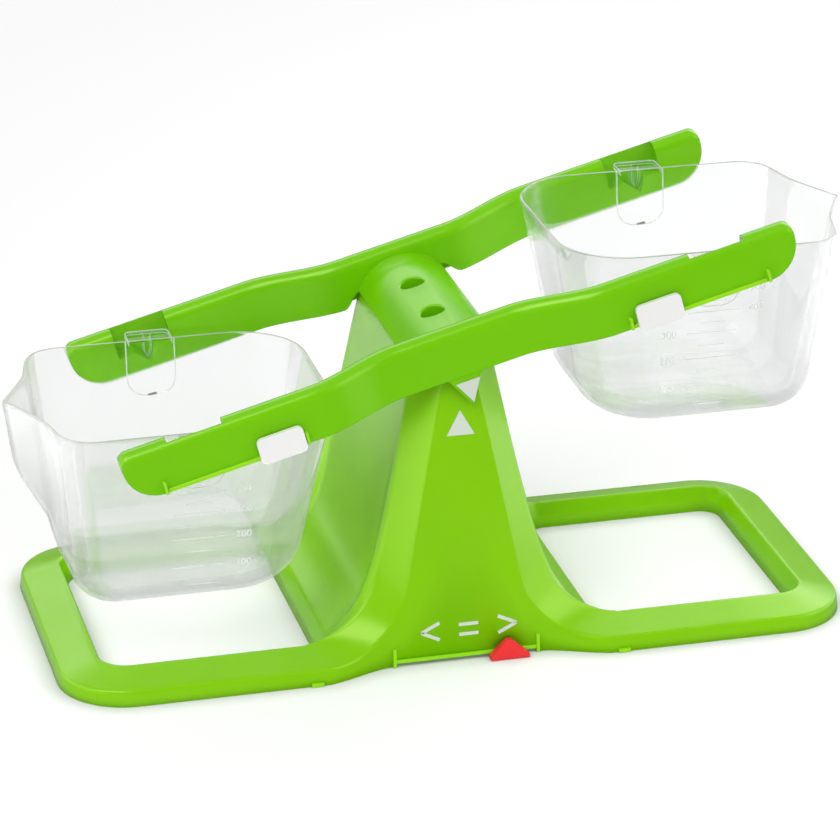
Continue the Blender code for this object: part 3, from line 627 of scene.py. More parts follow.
def quarter(lean):
    """Rows of points for one quarter of the base and stand at -Y, and the panel's middle line."""
    creases = sweep(PANEL_HALF, CREASE_HEIGHT, PANEL_SWEEP)
    edges = sweep(SIDE_HALF, RAIL_HEIGHT, SIDE_SWEEP)
    insets = [0, OUTER_LEAN * CREASE_HEIGHT, RAIL_TOP, RAIL_TOP + RAIL_LEAN]
    heights = [0, CREASE_HEIGHT, RAIL_HEIGHT, 0]
    cx, cy = BASE_HALF_LENGTH - BASE_CORNER, -(BASE_HALF_WIDTH - BASE_CORNER)
    rows = []
    for y in (0, cy * END_SHARE):
        rows.append([Vector((BASE_HALF_LENGTH - d, y, z)) for d, z in zip(insets, heights)])
    for i in range(CORNERS + 1):
        angle = -math.pi / 2 * i / CORNERS
        c, s = math.cos(angle), math.sin(angle)
        rows.append([Vector((cx + (BASE_CORNER - d) * c, cy + (BASE_CORNER - d) * s, z))
                     for d, z in zip(insets, heights)])
    starts = (creases[0][0], creases[0][0], edges[0][0], edges[0][0])
    for share in RAIL_SHARES:
        rows.append([Vector((lerp(x, cx, share), -(BASE_HALF_WIDTH - d), z))
                     for x, d, z in zip(starts, insets, heights)])
    grid = [soft_row(row, (1, 2, 2)) for row in rows]
    for i, ((x, z), edge) in enumerate(zip(creases, edges)):
        foot, opening = opening_corner(-math.pi / 2 * (1 + i / (len(edges) - 1)), edges[0][0])
        low = SLOT_HEIGHT if x < LIP_HALF else 0
        floor = Vector((x, -(outline_depth(x) - OUTER_LEAN * low), low))
        over = Vector((x, -(outline_depth(x) - OUTER_LEAN * z), z))
        inset = BASE_HALF_WIDTH - RAIL_TOP
        top = Vector((edge[0], -(inset - lean * (edge[1] - RAIL_HEIGHT)), edge[1]))
        points = [floor, over] + scoop(top, foot) + [opening]
        grid.append(soft_row(points, (1, 2, len(points) - 2)))
    for i in range(1, SIDES + 1):
        a, b, c = (Vector((p.x, p.y * (1 - i / SIDES), p.z)) for p in (top, foot, opening))
        points = [floor, over] + scoop(a, b) + [c]
        grid.append(soft_row(points, (1, 2, len(points) - 2)))
    return grid, len(edges) + len(rows) - 1


def add_row(bm, points, sx, sy):
    return [bm.verts.new((p.x * sx, p.y * sy, p.z)) for p in points]


def bridge(bm, a, b):
    """Faces between two open rows of vertices."""
    for i in range(len(a) - 1):
        bm.faces.new((a[i], b[i], b[i + 1], a[i + 1]))


def make_stand(finish):
    bm = bmesh.new()
    for lean, sy in BAND_LEANS:
        grid, last = quarter(lean)
        panel, end = grid[last], grid[-1]
        crest = max(range(len(panel)), key=lambda i: panel[i].z - panel[i].y * TIE_BREAK)
        front = [i for i in range(crest + 1) if panel[i].x <= panel[0].x + TOUCH]
        side = [panel[i] for i in front]
        over = [p for p in end[front[-1]:] if p.z > STAND_TOP - EDGE_ROUND * 1.5]
        for sx in (1, -1):
            rows = [add_row(bm, points, sx, sy) for points in grid]
            for a, b in zip(rows, rows[1:]):
                bridge(bm, a, b)
            for near, far in ((1, 0.5), (0.5, 0)):
                bridge(bm, add_row(bm, side, sx * near, sy), add_row(bm, side, sx * far, sy))
            bridge(bm, add_row(bm, over, sx, sy), add_row(bm, over, 0, sy))
    stand = new_object("stand", bm, finish, SHARP_STAND)
    shell = stand.modifiers.new("skin", "SOLIDIFY")
    shell.thickness = SKIN
    shell.offset = -1
    shell.use_even_offset = False
    apply_modifiers(stand)
    for vertex in stand.data.vertices:
        vertex.co.z = max(vertex.co.z, 0)
    return stand


def panel_bar(half, low, high, reach, side, shift=0):
    """Bar on the foot of the panel, at the front or the back."""
    rings = []
    for z in (low, high):
        near = PANEL_DEPTH - OUTER_LEAN * z
        outline = [(-half, near - BITE), (half, near - BITE), (half, near + reach), (-half, near + reach)]
        rings.append([(x + shift, y * side, z) for x, y in outline])
    return rings


def make_trim(finish):
    parts = []
    for side in (1, -1):
        parts.append(panel_bar(LIP_HALF, LIP_BOTTOM, LIP_BOTTOM + LIP_HEIGHT, LIP_REACH, side))
        for shift in (LIP_HALF + TICK_WIDTH / 2, -LIP_HALF - TICK_WIDTH / 2):
            parts.append(panel_bar(TICK_WIDTH / 2, 0, TICK_HEIGHT, TICK_REACH, side, shift))
        for x in (NUB_OFFSET, -NUB_OFFSET):
            near, far = sorted(((BASE_HALF_WIDTH - BITE) * side, (BASE_HALF_WIDTH + NUB_REACH) * side))
            parts.append(box((x - NUB_WIDTH / 2, near, 0), (x + NUB_WIDTH / 2, far, NUB_HEIGHT)))
    root = STAND_TOP - BITE
    half = (PIVOT_HEIGHT - root) * math.tan(KNIFE_HALF_ANGLE)
    knife = [(-half, root), (half, root), (0, PIVOT_HEIGHT)]
    parts.append(prism_y(knife, -KNIFE_HALF_LENGTH, KNIFE_HALF_LENGTH))
    return soften(solid("stand_trim", finish, *parts), TRIM_EDGE, TRIM_SEGMENTS)


# Yoke, drawn level with its rocking axis at the origin


def beam_bow(x):
    """How far the beam bends in towards the saddle."""
    return BEAM_BOW * (1 - smoothstep((abs(x) - BOW_START) / (BOW_END - BOW_START)))


def end_profile(inset):
    """Rounded end of a beam as (x, bottom, top), from the straight part outward."""
    radius = END_BOTTOM - inset
    rounding = END_TOP - inset
    places = []
    for i in range(ENDS + 1):
        angle = math.pi / 2 * i / ENDS
        x = BEAM_HALF_LENGTH - END_BOTTOM + radius * math.sin(angle)
        bottom = END_BOTTOM - BEAM_BOTTOM - radius * math.cos(angle)
        past = max(x - (BEAM_HALF_LENGTH - END_TOP), 0)
        top = BEAM_TOP - inset - rounding + math.sqrt(max(rounding ** 2 - past ** 2, 0))
        places.append((x, bottom, top))
    return places


def beam_ring(x, bottom, top, side):
    near = BEAM_INNER - beam_bow(x)
    far = near + BEAM_THICKNESS
    radius = min(BEAM_EDGE, (top - bottom) * EDGE_LIMIT)
    share = (abs(x) - LIFT_START) / (LIFT_END - LIFT_START)
    lift = max(bottom, lerp(SADDLE_EDGE, -BEAM_BOTTOM, smoothstep(share)))
    step = WALL + STEP_RUN
    outline = [(far, bottom)]
    outline += arc((far - radius, top - radius), radius, 0, math.pi / 2, EDGES)
    outline += arc((near + radius, top - radius), radius, math.pi / 2, math.pi, EDGES)
    outline += [(near, lift), (near + step, lift), (far - step, bottom)]
    return [(x, y * side, z) for y, z in outline]


def beam_outer(side):
    middle = [lerp(BOW_END, BOW_START, i / BOWS) for i in range(BOWS + 1)]
    middle = [x for x in middle if x > LIFT_END]
    middle += [lerp(LIFT_END, LIFT_START, i / LIFTS) for i in range(LIFTS + 1)]
    right = end_profile(0)[::-1] + [(x, -BEAM_BOTTOM, BEAM_TOP) for x in middle]
    left = [(-x, bottom, top) for x, bottom, top in right[::-1]]
    return [beam_ring(x, bottom, top, side) for x, bottom, top in right + left]


def beam_cavity(side):
    """The beam's channel, which is shallow below the pockets."""
    below, roof = -BEAM_BOTTOM - OVERRUN, BEAM_TOP - WALL
    shallow = CHANNEL_UNDER_POCKET - BEAM_BOTTOM
    inner = HANG_OFFSET - POCKET_HALF - POCKET_SIDE
    outer = HANG_OFFSET + POCKET_HALF + POCKET_SIDE
    places = end_profile(WALL)[::-1]
    places.append((BEAM_HALF_LENGTH - END_BOTTOM - STEP_RUN, below, roof))
    places += [(outer, below, roof), (outer - STEP_RUN, below, shallow)]
    places += [(inner + STEP_RUN, below, shallow), (inner, below, roof)]
    places += [(lerp(BOW_END, BOW_START, i / BOWS), below, roof) for i in range(BOWS + 1)]
    places += [(-x, bottom, top) for x, bottom, top in places[::-1]]
    rings = []
    for x, bottom, top in places:
        near = BEAM_INNER - beam_bow(x) + WALL
        far = near + BEAM_THICKNESS - WALL - WALL
        slope = STEP_RUN if top <= shallow else min(BEAM_EDGE - WALL, (top - bottom) * EDGE_LIMIT)
        outline = [(near, bottom), (far, bottom), (far, top - slope), (far - slope / 2, top),
                   (near + slope / 2, top), (near, top - slope)]
        rings.append([(x, y * side, z) for y, z in outline])
    return rings


def saddle_radius(crown):
    rise = crown - SADDLE_EDGE
    return (SADDLE_HALF ** 2 + rise ** 2) / (2 * rise)


def saddle_arch(crown, inset):
    radius = saddle_radius(crown)
    middle = crown - radius
    low = math.asin((SADDLE_EDGE - middle) / (radius - inset))
    return arc((0, middle), radius - inset, math.pi - low, low, ARCHES)


def saddle_outer():
    end = BEAM_INNER - BEAM_BOW
    places = [(-end - BITE, SADDLE_END_CROWN)]
    for i in range(BLENDS + 1):
        share = i / BLENDS
        places.append((lerp(-end, -end + SADDLE_BLEND, share),
                       lerp(SADDLE_END_CROWN, SADDLE_CROWN, 1 - (1 - share) ** 2)))
    places += [(-y, crown) for y, crown in places[::-1]]
    return [[(x, y, z) for x, z in saddle_arch(crown, 0)] for y, crown in places]


def saddle_hollow():
    reach = BEAM_INNER - BEAM_BOW + WALL + BITE
    outline = saddle_arch(SADDLE_CROWN, WALL)
    below = -BEAM_BOTTOM - OVERRUN
    outline += [(outline[-1][0], below), (outline[0][0], below)]
    return prism_y(outline, -reach, reach)


def tube(y, levels):
    """Turned form around a hole's axis; levels are (radius, height, share of the arch's sag)."""
    arch = saddle_radius(SADDLE_CROWN)
    rings = []
    for radius, height, share in levels:
        ring = []
        for x, across in arc((0, 0), radius, 0, 2 * math.pi, HOLE_SIDES)[:-1]:
            sag = arch - math.sqrt(arch ** 2 - x ** 2)
            ring.append((x, y + across, height - sag * share))
        rings.append(ring)
    return rings


def drill(y):
    """Hole whose rounded mouth follows the arch of the saddle."""
    levels = [(HOLE_RADIUS - HOLE_MOUTH, SADDLE_CROWN - HOLE_DEPTH, 0)]
    for i in range(MOUTHS + 1):
        angle = math.pi / 2 * i / MOUTHS
        levels.append((HOLE_RADIUS - HOLE_MOUTH * math.cos(angle),
                       SADDLE_CROWN - HOLE_MOUTH * (1 - math.sin(angle)), 1))
    levels.append((HOLE_RADIUS + HOLE_MOUTH / 2, SADDLE_CROWN + OVERRUN, 1))
    return tube(y, levels)


def pocket_outline(sign):
    """Pocket for a hanger, with shoulders and a V seat between two humps."""
    top = BEAM_TOP + OVERRUN
    seat = -HANG_DROP - GAP
    lip = (HUMP_HEIGHT - seat) * math.tan(SEAT_HALF_ANGLE)
    half = [(POCKET_HALF, top), (POCKET_HALF, SHOULDER_HEIGHT), (SHOULDER_HALF, SHOULDER_HEIGHT),
            (HUMP_OFFSET, HUMP_HEIGHT), (lip, HUMP_HEIGHT), (0, seat)]
    outline = half + [(-x, z) for x, z in half[-2::-1]]
    return [(sign * HANG_OFFSET + x, z) for x, z in outline]


def yoke_place():
    return Matrix.Translation((0, 0, PIVOT_HEIGHT)) @ Matrix.Rotation(-TILT, 4, "Y")


def make_yoke(finish):
    yoke = solid("yoke", finish, beam_outer(-1), beam_outer(1))
    combine(yoke, solid("saddle", finish, saddle_outer()), "UNION")
    combine(yoke, solid("channels", finish, beam_cavity(-1), beam_cavity(1)), "DIFFERENCE")
    combine(yoke, solid("hollow", finish, saddle_hollow()), "DIFFERENCE")
    bearing = box((-BEARING_HALF_WIDTH, -BEARING_HALF_LENGTH, -BEARING_DROP),
                  (BEARING_HALF_WIDTH, BEARING_HALF_LENGTH, CUP_TOP))
    combine(yoke, solid("bearing", finish, bearing), "UNION")
    low = SADDLE_CROWN - HOLE_DEPTH - CUP_WALL
    wide = HOLE_RADIUS + CUP_WALL
    cups = [tube(y, [(wide, low, 0), (wide, CUP_TOP, 0)]) for y in (-HOLE_OFFSET, HOLE_OFFSET)]
    combine(yoke, solid("cups", finish, *cups), "UNION")
    combine(yoke, solid("drills", finish, drill(-HOLE_OFFSET), drill(HOLE_OFFSET)), "DIFFERENCE")
    deep = BEARING_DROP + OVERRUN + GAP
    half = deep * math.tan(NOTCH_HALF_ANGLE)
    reach = BEARING_HALF_LENGTH + OVERRUN
    notch = prism_y([(0, GAP), (half, GAP - deep), (-half, GAP - deep)], -reach, reach)
    combine(yoke, solid("notch", finish, notch), "DIFFERENCE")
    pockets = []
    for sign in (-1, 1):
        for side in (-1, 1):
            ends = sorted(((BEAM_INNER - OVERRUN) * side, (BEAM_INNER + BEAM_THICKNESS - WALL) * side))
            pockets.append(prism_y(pocket_outline(sign), *ends))
    combine(yoke, solid("pockets", finish, *pockets), "DIFFERENCE")
    face = BEAM_BOW - BEAM_INNER - BEAM_THICKNESS
    pointer = [(-POINTER_HALF, BITE - BEAM_BOTTOM), (POINTER_HALF, BITE - BEAM_BOTTOM),
               (0, -BEAM_BOTTOM - POINTER_DROP)]
    combine(yoke, solid("pointer", finish, prism_y(pointer, face + POINTER_SET_BACK, face + WALL)), "UNION")
    dress(yoke, finish, SHARP)
    yoke.data.transform(yoke_place())
    return yoke


def make_yoke_trim(finish):
    far = BEAM_INNER + BEAM_THICKNESS
    low = TRACK_REVEAL - BEAM_BOTTOM
    bars = []
    for sign in (-1, 1):
        left, right = sorted((sign * (TRACK_START + TRACK_TICK_WIDTH / 2),
                              sign * (TRACK_END - TRACK_TICK_WIDTH / 2)))
        bars.append(box((left + GAP, -far - TRACK_LIP_REACH, low),
                        (right - GAP, BITE - far, low + TRACK_LIP_HEIGHT)))
        for x in (TRACK_START, TRACK_END):
            left = sign * x - TRACK_TICK_WIDTH / 2
            bars.append(box((left, -far - TRACK_TICK_REACH, low),
                            (left + TRACK_TICK_WIDTH, BITE - far, low + TRACK_TICK_HEIGHT)))
    trim = solid("yoke_trim", finish, *bars)
    trim.data.transform(yoke_place())
    return soften(trim, TRIM_EDGE, TRIM_SEGMENTS)


# Buckets, drawn with the hanging axis at the origin and the spout towards +X


def front_outline(depth, inset):
    """Half of the spout side, from the tip to the long wall."""
    share = depth / BUCKET_DEPTH
    corner_x = lerp(CORNER_X, FRONT_AT_BASE, share) - inset
    corner_y = lerp(CORNER_Y, HALF_AT_BASE - CORNER_AT_BASE, share)
    end_x = lerp(CORNER_END, FRONT_AT_BASE - CORNER_AT_BASE, share)
    half = lerp(HALF_AT_RIM, HALF_AT_BASE, share) - inset
    slant = SLANT * (1 - share)
    spout = 1 - smoothstep((depth - SPOUT_STRAIGHT) / (SPOUT_DEPTH - SPOUT_STRAIGHT))
    tip = lerp(TIP_AT_RIM - SPOUT_REACH, FRONT_AT_BASE, share) + SPOUT_REACH * spout - inset
    reach = max(tip - corner_x - slant * corner_y, 0)
    spout_half = SPOUT_HALF * lerp(SPOUT_FADE, 1, spout)
    points = []
    for i in range(FRONTS + 1):
        y = corner_y * i / FRONTS
        bulge = reach * max(1 - y / spout_half, 0) ** SPOUT_POWER
        points.append((corner_x + slant * (corner_y - y) + bulge, y))
    a = Vector(points[-1])
    b = a + Vector((-slant, 1)) * BEZIER * (half - corner_y)
    d = Vector((end_x, half))
    c = d + Vector((1, 0)) * BEZIER * (corner_x - end_x)
    for i in range(1, BENDS + 1):
        t = i / BENDS
        p = a * (1 - t) ** 3 + b * 3 * t * (1 - t) ** 2 + c * 3 * t * t * (1 - t) + d * t ** 3
        points.append((p.x, p.y))
    return points


def bucket_ring(depth, inset):
    share = max(depth, 0) / BUCKET_DEPTH
    back = lerp(BACK_AT_RIM, BACK_AT_BASE, share) - inset
    half = lerp(HALF_AT_RIM, HALF_AT_BASE, share) - inset
    radius = BACK_CORNER - inset
    upper = front_outline(max(depth, 0), inset)
    upper += arc((radius - back, half - radius), radius, math.pi / 2, math.pi, BENDS)
    ring = upper + [(x, -y) for x, y in upper[:0:-1]]
    return [(x, y, RIM_HEIGHT - depth) for x, y in ring]


def bucket_surface(inset):
    """Rings down a wall from below the rim, around the base's edge and in over the base."""
    floor = BUCKET_DEPTH - inset
    radius = BASE_ROUND - inset
    start = floor - radius
    rim = BUCKET_WALL / 2
    rings = []
    for i in range(1, LEVELS + 1):
        rings.append(bucket_ring(rim + (start - rim) * (1 - (1 - i / LEVELS) ** LEVEL_POWER), inset))
    for i in range(1, ROUNDS + 1):
        angle = math.pi / 2 * i / ROUNDS
        rings.append(bucket_ring(start + radius * math.sin(angle), inset + radius * (1 - math.cos(angle))))
    edge = rings[-1]
    for share in FLOOR_SHARES:
        rings.append([(x * share, y * share, z) for x, y, z in edge])
    return rings


def bucket_rim():
    """Half-round lip from the inner to the outer wall."""
    rim = BUCKET_WALL / 2
    rings = []
    for i in range(RIMS + 1):
        angle = math.pi * i / RIMS
        rings.append(bucket_ring(rim - rim * math.sin(angle), rim + rim * math.cos(angle)))
    return rings


def wall_at(z):
    return lerp(HALF_AT_RIM, HALF_AT_BASE, (RIM_HEIGHT - z) / BUCKET_DEPTH)


def hanger_plate(side):
    top = RIM_HEIGHT - HANGER_DROP
    root = HALF_AT_RIM - BUCKET_WALL
    r = HANGER_CORNER
    outline = [(-HANGER_HALF, root), (HANGER_HALF, root)]
    outline += arc((HANGER_HALF - r, HANGER_END - r), r, 0, math.pi / 2, HANGER_BENDS)
    outline += arc((r - HANGER_HALF, HANGER_END - r), r, math.pi / 2, math.pi, HANGER_BENDS)
    return [[(x, y * side, z) for x, y in outline] for z in (top - HANGER_PLATE, top)]


def hanger_rib(side):
    point = RIB_HALF / math.tan(RIB_POINT)
    top = RIM_HEIGHT - HANGER_DROP - HANGER_PLATE / 2
    outline = [(-RIB_HALF, top), (-RIB_HALF, point), (0, 0), (RIB_HALF, point), (RIB_HALF, top)]
    ends = sorted(((wall_at(0) - BITE) * side, (HANGER_END - HANGER_CORNER) * side))
    return prism_y(outline, *ends)


def pad(side):
    bottom = PAD_CORNER - PAD_BOTTOM
    levels = [(PAD_HALF, RIM_HEIGHT - PAD_DROP), (PAD_HALF, bottom)]
    for i in range(1, PAD_BENDS + 1):
        angle = math.pi / 2 * i / PAD_BENDS
        levels.append((PAD_HALF - PAD_CORNER + PAD_CORNER * math.cos(angle),
                       bottom - PAD_CORNER * math.sin(angle)))
    rings = []
    for half, z in levels:
        near, far = (wall_at(z) - BITE) * side, (wall_at(z) + PAD_REACH) * side
        rings.append([(-half, near, z), (half, near, z), (half, far, z), (-half, far, z)])
    return rings


def hang_axis(sign):
    tilt = Matrix.Rotation(-TILT, 4, "Y")
    return Vector((0, 0, PIVOT_HEIGHT)) + tilt @ Vector((sign * HANG_OFFSET, 0, -HANG_DROP))


def bucket_place(sign):
    turn = Matrix.Rotation(0 if sign > 0 else math.pi, 4, "Z")
    return Matrix.Translation(hang_axis(sign)) @ turn


def make_bucket(name, sign, finish):
    bm = bmesh.new()
    loft(bm, bucket_surface(BUCKET_WALL)[::-1] + bucket_rim() + bucket_surface(0))
    bucket = new_object(name, bm, finish)
    for parts in ((pad(-1), pad(1)), (hanger_plate(-1), hanger_plate(1)), (hanger_rib(-1), hanger_rib(1))):
        combine(bucket, solid("fitting", finish, *parts), "UNION")
    dress(bucket, finish, SHARP_BUCKET)
    bucket.data.transform(bucket_place(sign))
    return bucket


def strand(points, normal, radius):
    """A thin bar through points that lie in a plane."""
    turns = [2 * math.pi * k / STRAND_SIDES for k in range(STRAND_SIDES)]
    rings = []
    for i, point in enumerate(points):
        ahead = points[min(i + 1, len(points) - 1)] - points[max(i - 1, 0)]
        side = ahead.cross(normal).normalized()
        rings.append([tuple(point + (side * math.cos(t) + normal * math.sin(t)) * radius) for t in turns])
    return rings


def make_edges(name, sign, edge_highlight, brim_reflection, shade):
    """Painted light along the edges of the hangers and pads and along the rim, and a painted shade line
    below the back pad.
    """
    lines = []
    across, upward = Vector((0, 1, 0)), Vector((0, 0, 1))
    top = RIM_HEIGHT - HANGER_DROP
    point = RIB_HALF / math.tan(RIB_POINT)
    rib = [(-RIB_HALF, top - HANGER_PLATE), (-RIB_HALF, point), (0, 0), (RIB_HALF, point),
           (RIB_HALF, top - HANGER_PLATE)]
    for side in (-1, 1):
        half = [Vector(ring[2]) for ring in pad(side)]
        mirror = [Vector((-p.x, p.y, p.z)) for p in half]
        lines.append(strand(mirror + half[::-1], across, EDGE_LINE))
        for level in (top, top - HANGER_PLATE):
            plan = [Vector((x, y, level)) for x, y, z in hanger_plate(side)[0]]
            lines.append(strand(plan[1:] + plan[:1], upward, HANGER_LINE))
        end = (HANGER_END - HANGER_CORNER) * side
        lines.append(strand([Vector((x, end, z)) for x, z in rib], across, HANGER_LINE))
    # A dark strand on the wall below the back pad: painted shade of the pad's lower edge, not a real slot.
    low = SHADE_DROP - PAD_BOTTOM
    face = (wall_at(low) + PAD_REACH / 2) * sign
    slot = [Vector((x, face, low + x * sign * SHADE_SLOPE)) for x in (-SHADE_HALF, 0, SHADE_HALF)]
    # The brim strand is a painted reflection: a grey line along the rim of the clear wall.
    brim = [Vector(p) for p in bucket_ring(0, BUCKET_WALL / 2)]
    pieces = [solid(name + "_edges", edge_highlight, *lines),
              solid(name + "_slot", shade, strand(slot, across, SHADE_LINE)),
              solid(name + "_brim", brim_reflection, strand(brim, upward, RIM_LINE))]
    for item in pieces:
        item.data.transform(bucket_place(sign))
    return pieces


# Printed marks


def plate(name, outlines, finish, half, place):
    """Flat prints on the plane y = 0 of a place, with their faces towards -Y."""
    item = solid(name, finish, *[prism_y(outline, -half, half) for outline in outlines])
    item.data.transform(place)
    return item


def stroke(a, b, width):
    a, b = Vector(a), Vector(b)
    side = (b - a).normalized().orthogonal() * width / 2
    return [tuple(p) for p in (a + side, b + side, b - side, a - side)]


def bar(left, right, z, half):
    return [(left, z - half), (right, z - half), (right, z + half), (left, z + half)]


def panel_place():
    """Plane of the front panel: x across, z up its slope from the floor."""
    lean = math.atan(OUTER_LEAN)
    return Matrix.Translation((0, -PANEL_DEPTH, 0)) @ Matrix.Rotation(-lean, 4, "X")


def make_signs(finish):
    marks = [PANEL_TRIANGLE]
    for x, z, turn in SIGN_PLACES:
        tip, end = x - turn * SIGN_TIP, x + turn * SIGN_END
        marks += [stroke((tip, z), (end, z + rise), SIGN_WIDTH) for rise in (SIGN_OPEN, -SIGN_OPEN)]
    for z in EQUALS_HEIGHTS:
        marks.append(bar(*EQUALS_ENDS, z, SIGN_WIDTH / 2))
    return plate("panel_marks", marks, finish, PRINT_HALF, panel_place())


def make_pointer_mark(finish):
    place = yoke_place() @ Matrix.Translation((0, BEAM_BOW - BEAM_INNER - BEAM_THICKNESS, 0))
    return plate("pointer_mark", [POINTER_TRIANGLE], finish, PRINT_HALF, place)


def make_label(name, body, finish):
    curve = bpy.data.curves.new(name, "FONT")
    curve.body = body
    curve.size = LABEL_SIZE
    curve.align_x = "CENTER"
    curve.align_y = "CENTER"
    curve.extrude = SCALE_HALF
    item = link_object(name, curve)
    bpy.context.view_layer.update()
    depsgraph = bpy.context.evaluated_depsgraph_get()
    mesh = bpy.data.meshes.new_from_object(item.evaluated_get(depsgraph))
    bpy.data.objects.remove(item)
    mesh.materials.clear()
    mesh.materials.append(finish)
    return link_object(name, mesh)


def make_scale(name, sign, on_left, finish):
    """Graduations and their plain numbers on the bucket's front wall."""
    slope = math.atan((HALF_AT_RIM - HALF_AT_BASE) / BUCKET_DEPTH)
    lines = [bar(-SCALE_LONG, SCALE_LONG, -depth, SCALE_LONG_HEIGHT) for depth in SCALE_LEVELS]
    lines += [bar(-SCALE_SHORT, SCALE_SHORT, -depth, SCALE_SHORT_HEIGHT) for depth in SCALE_HALVES]
    wall = Matrix.Translation(hang_axis(sign) + Vector((0, -HALF_AT_RIM - SCALE_LIFT, RIM_HEIGHT)))
    wall = wall @ Matrix.Rotation(slope, 4, "X")
    pieces = [plate(name + "_lines", lines, finish, SCALE_HALF, wall)]
    for i, depth in enumerate(SCALE_LEVELS):
        value = (i + 1) * 100
        label = make_label("%s_%d" % (name, value), str(value), finish)
        x = LABEL_LEFT if value in on_left else LABEL_RIGHT
        spot = Matrix.Translation((x, 0, -depth)) @ Matrix.Rotation(math.pi / 2, 4, "X")
        label.data.transform(wall @ spot)
        pieces.append(label)
    return pieces


# Room


def add_camera():
    back = Vector((math.sin(AZIMUTH) * math.cos(ELEVATION), -math.cos(AZIMUTH) * math.cos(ELEVATION),
                   math.sin(ELEVATION)))
    right = Vector((math.cos(AZIMUTH), math.sin(AZIMUTH), 0))
    up = back.cross(right)
    across = right * math.cos(ROLL) + up * math.sin(ROLL)
    upward = up * math.cos(ROLL) - right * math.sin(ROLL)
    data = bpy.data.cameras.new("camera")
    camera = link_object("camera", data)
    turn = Matrix((across, upward, back)).transposed().to_4x4()
    camera.matrix_world = Matrix.Translation(Vector(TARGET) + back * DISTANCE) @ turn
    data.sensor_width = SENSOR
    data.sensor_fit = "HORIZONTAL"
    data.lens = FOCAL_PIXELS / PICTURE * SENSOR
    data.shift_x = (PICTURE / 2 - CENTRE_PIXEL[0]) / PICTURE
    data.shift_y = (CENTRE_PIXEL[1] - PICTURE / 2) / PICTURE
    data.clip_end = CLIP_END
    bpy.context.scene.camera = camera


def add_world():
    """Soft white light, a white background, and a studio that only gloss reflects."""
    item = bpy.data.worlds.new("world")
    bpy.context.scene.world = item
    graph = Graph(item)
    graph.nodes.clear()
    path = graph.add("LightPath", {})
    soft = graph.add("Background", {"Color": WHITE, "Strength": SOFT_LIGHT})
    white = graph.add("Background", {"Color": WHITE})
    place = graph.add("TexCoord", {}).outputs["Generated"]
    axes = graph.add("SeparateXYZ", {0: place}).outputs
    front = graph.ramp(axes["Y"], STUDIO_FRONT_ENDS, STUDIO_DARK, 1)
    height = graph.ramp(axes["Z"], STUDIO_HEIGHT_ENDS, STUDIO_SIDES, STUDIO_ABOVE)
    behind = graph.ramp(axes["Y"], STUDIO_BEHIND_ENDS, 0, 1)
    low = graph.ramp(axes["Z"], STUDIO_LOW_ENDS, 1 - STUDIO_BACK / STUDIO_SIDES, 0)
    calm = graph.math("SUBTRACT", 1, graph.math("MULTIPLY", behind, low))
    strength = graph.math("MULTIPLY", graph.math("MULTIPLY", front, calm), height)
    studio = graph.add("Background", {"Color": WHITE, "Strength": strength})
    plain = graph.mix_shaders(graph.seen(path), soft.outputs[0], white.outputs[0])
    surface = graph.mix_shaders(graph.reflected(path), plain, studio.outputs[0])
    graph.add("OutputWorld", {"Surface": surface})


def floor_material():
    """White paper that is lit a little from within, so it meets the white background."""
    item, graph, shader = new_material("floor")
    path = graph.add("LightPath", {})
    place = graph.add("TexCoord", {}).outputs["Object"]
    far = graph.add("VectorMath", {0: place}, operation="LENGTH").outputs["Value"]
    # Ambient occlusion darkens the floor's colour and glow close to the object: a painted contact shadow.
    touch = graph.add("AmbientOcclusion", {"Distance": CONTACT}, samples=CONTACT_SAMPLES).outputs
    relief = {"Strength": PAPER_STRENGTH, "Distance": PAPER_DEPTH, "Height": graph.noise(*PAPER_GRAIN)}
    graph.feed(shader, {
        "Base Color": graph.mix_colours(touch["AO"], FLOOR_CONTACT_SHADE, FLOOR_COLOUR),
        "Roughness": 1,
        "Normal": graph.add("Bump", relief).outputs[0],
        "Specular IOR Level": 0})
    bounce = graph.ramp(far, BOUNCE_ENDS, FLOOR_BOUNCE, 0)
    shown = graph.ramp(far, GLOW_ENDS, *FLOOR_GLOW)
    strength = graph.add("Mix", {0: graph.seen(path), 2: bounce, 3: shown}, data_type="FLOAT")
    glow = graph.add("Emission", {"Color": touch["Color"], "Strength": strength.outputs[0]})
    paper = graph.add("AddShader", {0: shader.outputs[0], 1: glow.outputs[0]})
    direction = graph.add("VectorMath", {0: place}, operation="NORMALIZE").outputs[0]
    axes = graph.add("SeparateXYZ", {0: direction}).outputs
    front = graph.ramp(axes["Y"], FLOOR_FRONT_ENDS, STUDIO_DARK, FLOOR_SIDES)
    behind = graph.ramp(axes["Y"], FLOOR_BEHIND_ENDS, 1, FLOOR_BACK / FLOOR_SIDES)
    left = graph.ramp(axes["X"], FLOOR_LEFT_ENDS, FLOOR_LEFT, 1)
    near = graph.ramp(far, FLOOR_NEAR_ENDS, FLOOR_NEAR, 1)
    wide = graph.math("MULTIPLY", graph.math("MULTIPLY", front, behind), left)
    studio = graph.add("Emission", {"Strength": graph.math("MULTIPLY", wide, near)})
    surface = graph.mix_shaders(graph.reflected(path), paper.outputs[0], studio.outputs[0])
    graph.feed(graph.nodes["Material Output"], {"Surface": surface})
    return item


def add_floor():
    corners = [(-FLOOR_HALF, -FLOOR_HALF, 0), (FLOOR_HALF, -FLOOR_HALF, 0),
               (FLOOR_HALF, FLOOR_HALF, 0), (-FLOOR_HALF, FLOOR_HALF, 0)]
    mesh = bpy.data.meshes.new("floor")
    mesh.from_pydata(corners, [], [(0, 1, 2, 3)])
    mesh.materials.append(floor_material())
    link_object("floor", mesh)


